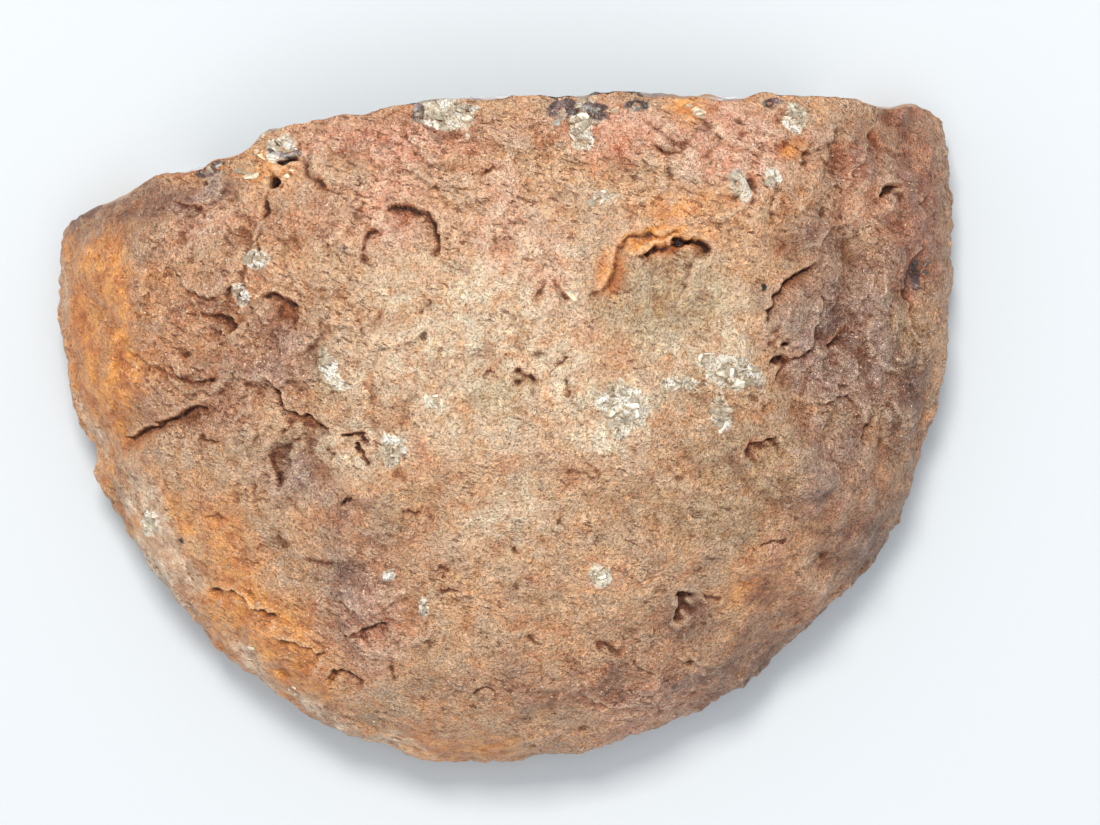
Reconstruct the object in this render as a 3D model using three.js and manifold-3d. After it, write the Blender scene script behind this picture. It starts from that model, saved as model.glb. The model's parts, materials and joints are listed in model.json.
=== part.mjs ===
// A broken half of a geode, lying hollow side down: a rough stone rind, domed
// like the cap of a nodule, sawn flat underneath and broken off along one side,
// with a crust of quartz crystals grown on the inside of its hollow.
//
// Millimetres, +Z up. The origin is on the surface that the sawn rim rests on,
// under the middle of the part. Shapes are worked out around the nodule's own
// upright axis, which stands AXIS_Y behind the origin. The broken side faces +Y.

import * as THREE from 'three';
import { mergeVertices } from 'three/addons/utils/BufferGeometryUtils.js';
import Module from 'manifold-3d';

const wasm = await Module();
wasm.setup();

// ---- Driving dimensions ----

const AXIS_Y = 14.65;
const RADIUS = 58.6;
const HEIGHT = 44;
const WAIST_Z = 9;
const TUCK = 3.5;
const WALL = 6.5;
const SEAT_GAP = 0.3;
const CRUST = 5;
const CRUST_LIFT = 0.25;
const BREAK_Y = 28.5;
const BREAK_SWEEP = 14.6;
const BREAK_STEP = { x: -30.5, depth: 1.1, width: 2 };
const BREAK_LEAN = 0.05;
const BREAK_CORNER = { x: 56, rounding: 0.12 };

// How round the dome is: 2 and 0.5 would be an ellipsoid.
const SHOULDER_POWER = 2.2;
const CROWN_POWER = 0.55;

// Swells and dents of the plan outline: [direction, spread (degrees), swell (mm)].
const LOBES = [
  [28, 20, 6.0],
  [-98, 14, 1.5],
  [172, 18, 1.6],
  [-162, 3, -1.2],
  [-159, 2.5, 0.6],
  [-60, 12, -0.6],
  [-146, 14, -1.0],
  [-30, 8, 1.7],
  [-4, 10, 1.0],
  [-74, 7, 0.8],
  [-51, 5, -0.6],
];

// Broad rises and hollows of the dome: [x, y, spread x, spread y, height (mm)].
const SWELLS = [
  [-6, 3, 16, 14, 0.9],
  [-29, -1, 8, 6, -1.3],
  [-27, -19, 7, 8, -1.4],
  [-38, -7, 5, 7, -0.8],
  [16, -24, 6, 5, -0.9],
  [27, -40, 5, 4, -1.4],
  [45, -2, 7, 10, -0.9],
  [22, 2, 9, 7, -0.8],
  [5, -17, 12, 5, 0.7],
  [-17, -40, 4, 8, 0.8],
];

// Ledges where layers of the rind have spalled off. Walking along the points,
// [x, y], the lower side is on the right. It lies `drop` below the upper side,
// and comes back up to the dome over `reach`.
const LEDGES = [
  {
    drop: 2.2,
    reach: 13,
    line: [[9.9, 1.9], [12.7, 2.9], [14.3, 5.5], [15.3, 8.3], [17.9, 9.6], [21.5, 9.7], [24.3, 10], [27.2, 8.4]],
  },
  {
    drop: 1.2,
    reach: 7,
    line: [[-17, 15.1], [-14.8, 15.6], [-12.3, 15.8], [-10.3, 14.8], [-8.9, 13.2], [-8.4, 10.9], [-8.5, 7.7]],
  },
  { drop: 0.8, reach: 4, line: [[-19.7, 6.8], [-19.1, 9.7], [-18.3, 11.6], [-16.1, 12.2]] },
  { drop: 1.4, reach: 8, line: [[-33.7, 3.3], [-32.1, 3.8], [-29.7, 3], [-27.4, 2]] },
  { drop: 1.1, reach: 5, line: [[-40.4, 1.5], [-38.3, 0.5], [-37, -0.8], [-36.3, -2.5]] },
  { drop: 1.0, reach: 4, line: [[-45.8, -5.9], [-43.8, -7.6], [-42, -8], [-40.1, -7.2], [-39, -8.3]] },
  {
    drop: 1.4,
    reach: 6,
    line: [[-52.4, -15.7], [-49.5, -14.8], [-47.4, -14.5], [-45.7, -13.2], [-42.1, -11.9], [-39.8, -12.4]],
  },
  { drop: 1.3, reach: 7, line: [[-32, -7], [-29.6, -11], [-27.1, -12.8], [-24.5, -14.1], [-22.6, -16]] },
  { drop: 1.0, reach: 4, line: [[-30.2, -23.8], [-31.5, -21.9], [-31.8, -19.3], [-31, -17.4]] },
  { drop: 1.1, reach: 5, line: [[-22.6, -16], [-20.4, -15.2], [-18.6, -15.6], [-17.4, -17.6]] },
  {
    drop: 1.4,
    reach: 6,
    line: [[-40.6, -37.3], [-38.4, -36.1], [-36.4, -36.7], [-34.4, -37.8], [-32.4, -38.7], [-30.6, -39.7]],
  },
  { drop: 1.3, reach: 5, line: [[-31.2, -43.8], [-29.8, -43.1], [-27.8, -43], [-26.2, -44.3], [-23.9, -45.7]] },
  { drop: 1.0, reach: 4, line: [[-23.8, -49.1], [-22.9, -47.4], [-21.2, -47], [-19.7, -47.9], [-18.7, -49]] },
  { drop: 0.9, reach: 4, line: [[-21.1, -42.2], [-19.5, -41.1], [-17.3, -40.5], [-15.1, -41.5]] },
  { drop: 1.7, reach: 5, line: [[24.4, -41.5], [23.6, -39.8], [23.5, -38], [24.6, -36.5]] },
  { drop: 1.0, reach: 5, line: [[32.5, -18], [33.8, -17.3], [35.5, -16.4], [37.5, -15.5]] },
  {
    drop: 1.5,
    reach: 9,
    line: [[35.2, -0.8], [35.8, 1.4], [37.1, 3.6], [38.7, 5.3], [40.8, 7.1], [43.5, 8.4]],
  },
  { drop: 1.0, reach: 5, line: [[36.6, -8.6], [38.4, -6.2], [40.2, -4.6], [42.6, -3.4]] },
  { drop: 1.2, reach: 5, line: [[55.4, -3.5], [55.8, 2.4], [55.6, 7.1], [56, 11.1], [56.6, 15.2], [57.6, 19.6]] },
  { drop: 1.0, reach: 4, line: [[25.3, 24], [23.9, 22.4], [22.3, 21.5], [20.8, 22.9], [20.4, 24.2]] },
  { drop: 0.9, reach: 5, line: [[0.4, -6.2], [2.4, -6.8], [3.8, -7.4], [6, -8.2]] },
];

// Octaves of lumps on the rind and on the hollow's wall: [size, height (mm)].
const RIND_LUMPS = [[16, 0.9], [8, 0.8], [5, 0.5]];
const HOLLOW_LUMPS = [[13, 0.6], [6, 0.3]];

// How finely each dome is divided: cells along one side of its square grid, and
// rings between the waist and the rim.
const RIND_MESH = { cells: 36, rings: 2 };
const HOLLOW_MESH = { cells: 14, rings: 1 };

const PIT_COUNT = 36;
const CRYSTAL_COUNT = 76;

// Slivers thinner than this, left where one cut crosses another, are closed up.
const FINEST = 0.2;

// ---- Repeatable roughness ----

/** A number from 0 to 1 that belongs to one corner of a lattice of cubes. */
function latticeValue(i, j, k) {
  let mixed = Math.imul(i, 374761393) + Math.imul(j, 668265263) + Math.imul(k, 1274126177);
  mixed = Math.imul(mixed ^ (mixed >>> 13), 1103515245);
  return ((mixed ^ (mixed >>> 16)) >>> 0) / 4294967296;
}

function ease(t) {
  return t * t * (3 - 2 * t);
}

/** Smooth noise from -1 to 1 that changes over about one unit. */
function noise(x, y, z) {
  const [i, j, k] = [Math.floor(x), Math.floor(y), Math.floor(z)];
  const [u, v, w] = [ease(x - i), ease(y - j), ease(z - k)];
  let sum = 0;
  for (const [di, share] of [[0, 1 - u], [1, u]]) {
    for (const [dj, shareY] of [[0, 1 - v], [1, v]]) {
      for (const [dk, shareZ] of [[0, 1 - w], [1, w]]) {
        sum += share * shareY * shareZ * latticeValue(i + di, j + dj, k + dk);
      }
    }
  }
  return 2 * sum - 1;
}

function lumps(point, octaves) {
  let height = 0;
  for (const [size, amount] of octaves) {
    height += amount * noise(point.x / size, point.y / size, point.z / size);
  }
  return height;
}

// ---- The nodule's shape ----

/** Plan radius of the nodule at its waist, in the direction `angle`. */
function outlineRadius(angle) {
  let radius = RADIUS;
  for (const [centre, spread, swell] of LOBES) {
    const turn = THREE.MathUtils.euclideanModulo(THREE.MathUtils.radToDeg(angle) - centre + 180, 360) - 180;
    radius += swell * Math.exp(-((turn / spread) ** 2));
  }
  return radius;
}

/** Height of the smooth dome, `inset` inside the outer surface, at a share of its plan radius. */
function domeHeight(share, inset) {
  const top = HEIGHT - inset;
  return WAIST_Z + (top - WAIST_Z) * (1 - Math.min(share, 1) ** SHOULDER_POWER) ** CROWN_POWER;
}

/** Outward direction at a point of the dome. Below the waist it is level, so the rim stays flat. */
function outward(point) {
  const rise = Math.max(point.z - WAIST_Z, 0) / (HEIGHT - WAIST_Z) ** 2;
  return new THREE.Vector3(point.x / RADIUS ** 2, point.y / RADIUS ** 2, rise).normalize();
}

function swellHeight(x, y) {
  let height = 0;
  for (const [centreX, centreY, spreadX, spreadY, amount] of SWELLS) {
    height += amount * Math.exp(-(((x - centreX) / spreadX) ** 2) - ((y - centreY) / spreadY) ** 2);
  }
  return height;
}

/** Pushes a point of the outer surface out by its lumps and swells. */
function roughenRind(point) {
  const height = lumps(point, RIND_LUMPS) + swellHeight(point.x, point.y);
  return point.addScaledVector(outward(point), height);
}

function roughenHollow(point) {
  return point.addScaledVector(outward(point), lumps(point, HOLLOW_LUMPS));
}

/** A point on the dome above the waist. `latitude` runs from 0 on top to 1 at the waist. */
function domePoint(angle, latitude, inset) {
  const tilt = (latitude * Math.PI) / 2;
  const share = Math.sin(tilt) ** (2 / SHOULDER_POWER);
  const radius = (outlineRadius(angle) - inset) * share;
  return new THREE.Vector3(radius * Math.cos(angle), radius * Math.sin(angle), domeHeight(share, inset));
}

/** A point below the waist. `depth` runs from 0 at the waist to 1 at `floor`. */
function skirtPoint(angle, depth, inset, floor) {
  const z = WAIST_Z + (floor - WAIST_Z) * depth;
  const drop = Math.min((WAIST_Z - z) / WAIST_Z, 1);
  const radius = outlineRadius(angle) - inset - TUCK * drop ** 2;
  return new THREE.Vector3(radius * Math.cos(angle), radius * Math.sin(angle), z);
}

/** Where a square grid's point (a and b from -1 to 1) lies on a disc. */
function discPlace(a, b) {
  if (a === 0 && b === 0) {
    return { latitude: 0, angle: 0 };
  }
  const byColumn = Math.abs(a) > Math.abs(b);
  const reach = byColumn ? a : b;
  const turn = byColumn ? (Math.PI / 4) * (b / a) : Math.PI / 2 - (Math.PI / 4) * (a / b);
  return { latitude: Math.abs(reach), angle: reach < 0 ? turn + Math.PI : turn };
}

/** A closed dome that stands on z = floor, `inset` inside the nodule's outer surface. */
function domeGeometry(inset, floor, mesh, roughen) {
  const { cells, rings } = mesh;
  const points = [];
  const faces = [];
  const gridIndex = (i, j) => j * (cells + 1) + i;
  for (let j = 0; j <= cells; j += 1) {
    for (let i = 0; i <= cells; i += 1) {
      const { latitude, angle } = discPlace((2 * i) / cells - 1, (2 * j) / cells - 1);
      points.push(roughen(domePoint(angle, latitude, inset)));
    }
  }
  for (let j = 0; j < cells; j += 1) {
    for (let i = 0; i < cells; i += 1) {
      const [a, b, c, d] = [gridIndex(i, j), gridIndex(i + 1, j), gridIndex(i + 1, j + 1), gridIndex(i, j + 1)];
      const leansRight = i < cells / 2 === j < cells / 2;
      faces.push(...(leansRight ? [a, b, c, a, c, d] : [a, b, d, b, c, d]));
    }
  }

  // The grid's edge, walked anticlockwise, is the waist that the skirt hangs from.
  let ring = [];
  for (let step = 0; step < cells; step += 1) {
    ring[step] = [step, 0];
    ring[cells + step] = [cells, step];
    ring[2 * cells + step] = [cells - step, cells];
    ring[3 * cells + step] = [0, cells - step];
  }
  const angles = ring.map(([i, j]) => discPlace((2 * i) / cells - 1, (2 * j) / cells - 1).angle);
  ring = ring.map(([i, j]) => gridIndex(i, j));
  for (let level = 1; level <= rings; level += 1) {
    const lower = angles.map((angle) => {
      points.push(roughen(skirtPoint(angle, level / rings, inset, floor)));
      return points.length - 1;
    });
    for (let n = 0; n < ring.length; n += 1) {
      const next = (n + 1) % ring.length;
      faces.push(ring[n], lower[n], lower[next], ring[n], lower[next], ring[next]);
    }
    ring = lower;
  }
  points.push(new THREE.Vector3(0, 0, floor));
  const middle = points.length - 1;
  for (let n = 0; n < ring.length; n += 1) {
    faces.push(middle, ring[(n + 1) % ring.length], ring[n]);
  }
  return geometryFrom(points, faces);
}

/** Height of the rind's outer surface above a point of the plan. */
function surfacePoint(x, y) {
  const share = Math.hypot(x, y) / outlineRadius(Math.atan2(y, x));
  return roughenRind(new THREE.Vector3(x, y, domeHeight(share, 0)));
}

// ---- Solids ----

function geometryFrom(points, faces) {
  const geometry = new THREE.BufferGeometry();
  geometry.setFromPoints(points);
  geometry.setIndex(faces);
  return geometry;
}

function solidOf(geometry) {
  const bare = geometry.clone();
  bare.deleteAttribute('normal');
  bare.deleteAttribute('uv');
  const merged = mergeVertices(bare, 1e-5);
  const vertProperties = new Float32Array(merged.attributes.position.array);
  const triVerts = new Uint32Array(merged.index.array);
  return new wasm.Manifold(new wasm.Mesh({ numProp: 3, vertProperties, triVerts }));
}

/** The largest of a solid's separate bodies: cutting leaves loose crumbs beside it. */
function mainBody(solid) {
  return solid.decompose().reduce((best, body) => (body.volume() > best.volume() ? body : best));
}

function meshOf(name, solid, material) {
  const { vertProperties, triVerts } = mainBody(solid).simplify(FINEST).getMesh();
  const geometry = new THREE.BufferGeometry();
  geometry.setAttribute('position', new THREE.BufferAttribute(vertProperties, 3));
  geometry.setIndex(new THREE.BufferAttribute(triVerts, 1));
  geometry.computeVertexNormals();
  const mesh = new THREE.Mesh(geometry, material);
  mesh.name = name;
  return mesh;
}

/** Where the broken side stands in plan. */
function breakLine(x) {
  const sweep = BREAK_SWEEP * (Math.max(-x, 0) / RADIUS) ** 1.62;
  const step = BREAK_STEP.depth * THREE.MathUtils.smoothstep(BREAK_STEP.x - x, 0, BREAK_STEP.width);
  const corner = BREAK_CORNER.rounding * Math.max(x - BREAK_CORNER.x, 0) ** 2;
  return BREAK_Y - sweep - step - corner;
}

/** Everything beyond the broken side: a slab whose near face is the fracture. */
function beyondBreak() {
  const [columns, rows] = [26, 7];
  const [halfWidth, low, high, far] = [72, -4, HEIGHT + 6, 80];
  const points = [];
  const faces = [];
  for (const back of [0, 1]) {
    for (let row = 0; row <= rows; row += 1) {
      for (let column = 0; column <= columns; column += 1) {
        const x = THREE.MathUtils.lerp(-halfWidth, halfWidth, column / columns);
        const z = THREE.MathUtils.lerp(low, high, row / rows);
        const chips = 0.7 * noise(x / 9, 5, z / 9) + 0.5 * noise(x / 3.4, 9, z / 3.4);
        const near = breakLine(x) + BREAK_LEAN * (HEIGHT / 2 - z) + chips;
        points.push(new THREE.Vector3(x, back ? far : near, z));
      }
    }
  }
  const index = (back, column, row) => (back * (rows + 1) + row) * (columns + 1) + column;
  const quad = (a, b, c, d) => faces.push(a, b, c, a, c, d);
  for (let row = 0; row < rows; row += 1) {
    for (let column = 0; column < columns; column += 1) {
      quad(index(0, column, row), index(0, column + 1, row), index(0, column + 1, row + 1), index(0, column, row + 1));
      quad(index(1, column, row), index(1, column, row + 1), index(1, column + 1, row + 1), index(1, column + 1, row));
    }
    quad(index(0, 0, row), index(0, 0, row + 1), index(1, 0, row + 1), index(1, 0, row));
    quad(index(0, columns, row), index(1, columns, row), index(1, columns, row + 1), index(0, columns, row + 1));
  }
  for (let column = 0; column < columns; column += 1) {
    quad(index(0, column, 0), index(1, column, 0), index(1, column + 1, 0), index(0, column + 1, 0));
    const next = column + 1;
    quad(index(0, column, rows), index(0, next, rows), index(1, next, rows), index(1, column, rows));
  }
  return solidOf(geometryFrom(points, faces));
}

/** A six-sided block from its four lower corners, anticlockwise, and the four above them. */
function block(lower, upper) {
  const faces = [];
  for (const [a, b, c, d] of [[3, 2, 1, 0], [4, 5, 6, 7], [0, 1, 5, 4], [1, 2, 6, 5], [2, 3, 7, 6], [3, 0, 4, 7]]) {
    faces.push(a, b, c, a, c, d);
  }
  return solidOf(geometryFrom([...lower, ...upper], faces));
}

/** The layer that has spalled off below one stretch of a ledge: a wedge, deepest at the ledge. */
function spalledWedge([startX, startY], [endX, endY], drop, reach) {
  const [overlap, flare, feather, clear] = [0.3, 0.18, 0.15, 3];
  const along = new THREE.Vector2(endX - startX, endY - startY).normalize();
  const place = (x, y, forward, away) =>
    surfacePoint(x + along.x * forward + along.y * away, y + along.y * forward - along.x * away);
  const edge = [place(startX, startY, -overlap, 0), place(endX, endY, overlap, 0)];
  const spread = overlap + flare * reach;
  const far = [place(endX, endY, spread, reach), place(startX, startY, -spread, reach)];
  const lifted = (point, height) => point.clone().addScaledVector(outward(point), height);
  const lower = [lifted(far[1], feather), lifted(far[0], feather), lifted(edge[1], -drop), lifted(edge[0], -drop)];
  const upper = [far[1], far[0], edge[1], edge[0]].map((point) => lifted(point, clear));
  return block(lower, upper);
}

function spalledLayers() {
  const wedges = [];
  for (const { drop, reach, line } of LEDGES) {
    for (let n = 1; n < line.length; n += 1) {
      const atEnd = n === 1 || n === line.length - 1;
      const share = atEnd ? 0.7 : 1;
      wedges.push(spalledWedge(line[n - 1], line[n], drop * share, reach * share));
    }
  }
  return wasm.Manifold.union(wedges);
}

/** Small pits over the whole dome, each an eight-sided bite. */
function pits() {
  const bites = [];
  for (let n = 0; n < PIT_COUNT; n += 1) {
    const angle = 2 * Math.PI * latticeValue(n, 1, 7);
    const latitude = 0.96 * Math.sqrt(latticeValue(n, 2, 7));
    const place = roughenRind(domePoint(angle, latitude, 0));
    const size = 0.8 + 1.3 * latticeValue(n, 3, 7) ** 2;
    const bite = new THREE.OctahedronGeometry(size);
    bite.scale(1.7, 1, 0.8);
    bite.rotateZ(Math.PI * latticeValue(n, 4, 7));
    const facing = new THREE.Quaternion().setFromUnitVectors(new THREE.Vector3(0, 0, 1), outward(place));
    bite.applyQuaternion(facing);
    bite.translate(place.x, place.y, place.z);
    bites.push(solidOf(bite));
  }
  return wasm.Manifold.union(bites);
}

function rindSolid() {
  const nodule = solidOf(domeGeometry(0, 0, RIND_MESH, roughenRind));
  const hollow = solidOf(domeGeometry(WALL, -1, HOLLOW_MESH, roughenHollow));
  return nodule.subtract(spalledLayers()).subtract(pits()).subtract(hollow).subtract(beyondBreak());
}

/** One quartz crystal: a six-sided prism with a six-sided point, rooted in the crust. */
function crystal(index) {
  const share = (index + 0.5) / CRYSTAL_COUNT;
  const angle = index * Math.PI * (3 - Math.sqrt(5));
  const latitude = 0.97 * Math.sqrt(share);
  const root = domePoint(angle, latitude, WALL + CRUST - 1.5);
  const radius = 3.4 + 2.4 * latticeValue(index, 1, 3);
  const prism = 1.6 + 2.4 * latticeValue(index, 2, 3);
  const profile = [
    new THREE.Vector2(0, 0),
    new THREE.Vector2(radius, 0),
    new THREE.Vector2(radius, prism),
    new THREE.Vector2(0, prism + radius * 1.15),
  ];
  const shape = new THREE.LatheGeometry(profile, 6);
  shape.rotateX(Math.PI / 2);
  shape.rotateZ(Math.PI * latticeValue(index, 3, 3));
  const lean = (axis) => 0.6 * (latticeValue(index, axis, 3) - 0.5);
  const direction = outward(root).negate().add(new THREE.Vector3(lean(4), lean(5), lean(6))).normalize();
  shape.applyQuaternion(new THREE.Quaternion().setFromUnitVectors(new THREE.Vector3(0, 0, 1), direction));
  shape.translate(root.x, root.y, root.z);
  return solidOf(shape);
}

function crystalCrustSolid() {
  const inset = WALL + SEAT_GAP;
  const bed = solidOf(domeGeometry(inset, CRUST_LIFT, HOLLOW_MESH, roughenHollow));
  const hollow = solidOf(domeGeometry(WALL + CRUST, -1, HOLLOW_MESH, roughenHollow));
  const crystals = wasm.Manifold.union(Array.from({ length: CRYSTAL_COUNT }, (_, n) => crystal(n)));
  return bed.subtract(hollow).add(crystals.intersect(bed)).subtract(beyondBreak());
}

// ---- Materials and the part ----

const rindStone = new THREE.MeshStandardMaterial({ color: 0xb99477, roughness: 0.85, metalness: 0 });
const quartz = new THREE.MeshStandardMaterial({ color: 0xe6e0ea, roughness: 0.15, metalness: 0 });

const geode = new THREE.Group();
geode.position.set(0, AXIS_Y, 0);
geode.add(meshOf('rind', rindSolid(), rindStone));
geode.add(meshOf('crystal_crust', crystalCrustSolid(), quartz));

export default geode;
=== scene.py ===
"""Dresses a geode half: its rough stone rind, the cross-section where it is broken
and sawn, and the quartz crystals in its hollow.

Blender objects are in metres, in the solid's own frame, +Z up. Shapes are worked out
in millimetres around the nodule's own upright axis, which stands AXIS_Y from the
origin towards +Y, the side where it is broken.
"""

import json
import math

import bmesh
import bpy
import numpy as np
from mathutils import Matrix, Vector

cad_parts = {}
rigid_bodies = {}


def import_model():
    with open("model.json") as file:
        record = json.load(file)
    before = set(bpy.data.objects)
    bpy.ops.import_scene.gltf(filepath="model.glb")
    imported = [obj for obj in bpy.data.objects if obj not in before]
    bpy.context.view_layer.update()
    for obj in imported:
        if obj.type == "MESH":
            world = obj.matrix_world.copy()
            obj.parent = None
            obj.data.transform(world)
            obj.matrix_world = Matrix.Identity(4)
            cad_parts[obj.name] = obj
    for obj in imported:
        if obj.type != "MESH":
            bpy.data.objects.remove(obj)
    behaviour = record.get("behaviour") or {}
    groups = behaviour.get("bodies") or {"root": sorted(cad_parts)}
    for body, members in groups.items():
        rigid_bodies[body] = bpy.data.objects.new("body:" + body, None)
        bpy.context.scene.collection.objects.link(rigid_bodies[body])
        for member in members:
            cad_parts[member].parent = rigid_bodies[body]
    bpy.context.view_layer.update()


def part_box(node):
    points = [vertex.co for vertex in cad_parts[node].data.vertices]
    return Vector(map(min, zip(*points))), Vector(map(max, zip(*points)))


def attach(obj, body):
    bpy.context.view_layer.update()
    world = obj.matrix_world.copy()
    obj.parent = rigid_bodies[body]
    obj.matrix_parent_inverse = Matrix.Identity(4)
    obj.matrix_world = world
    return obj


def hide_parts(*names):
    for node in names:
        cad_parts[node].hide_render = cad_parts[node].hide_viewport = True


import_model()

# ---- The solid's dimensions, in millimetres ----

SOLID_WIDTH = 120.66
AXIS_Y = 14.65
RADIUS = 58.6
HEIGHT = 44
WAIST_Z = 9
TUCK = 3.5
WALL = 6.5
SEAT_GAP = 0.06
CRUST = 5
CRUST_LIFT = 0.25
BREAK_Y = 28.5
BREAK_SWEEP = 14.6
BREAK_STEP_X = -30.5
BREAK_STEP = 1.1
BREAK_STEP_WIDTH = 2
BREAK_CORNER_X = 56
BREAK_CORNER = 0.12
SHOULDER_POWER = 2.2
CROWN_POWER = 0.55

rind_low, rind_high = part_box("rind")
MM = (rind_high[0] - rind_low[0]) / SOLID_WIDTH

# Where the camera stands, and how wide a strip it sees at FOCUS_HEIGHT.
EYE_HEIGHT = 660
EYE_X = 6.35
EYE_Y = 2.15 - AXIS_Y
VIEW_WIDTH = 148.5
FOCUS_HEIGHT = 10

# Swells and dents of the plan outline: (direction, spread (degrees), swell).
LOBES = [
    (28, 20, 6), (-98, 14, 1.5), (172, 18, 1.6), (-162, 3, -1.2), (-159, 2.5, 0.6), (-60, 12, -0.6),
    (-146, 14, -1), (-30, 8, 1.7), (-4, 10, 1), (-74, 7, 0.8), (-51, 5, -0.6),
]

# Broad rises and hollows of the dome: (x, y, spread x, spread y, height).
SWELLS = [
    (-6, 3, 16, 14, 0.9), (-29, -1, 8, 6, -1.3), (-27, -19, 7, 8, -1.4), (-38, -7, 5, 7, -0.8),
    (16, -24, 6, 5, -0.9), (27, -40, 5, 4, -1.4), (45, -2, 7, 10, -0.9), (22, 2, 9, 7, -0.8),
    (5, -17, 12, 5, 0.7), (-17, -40, 4, 8, 0.8),
]

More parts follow.
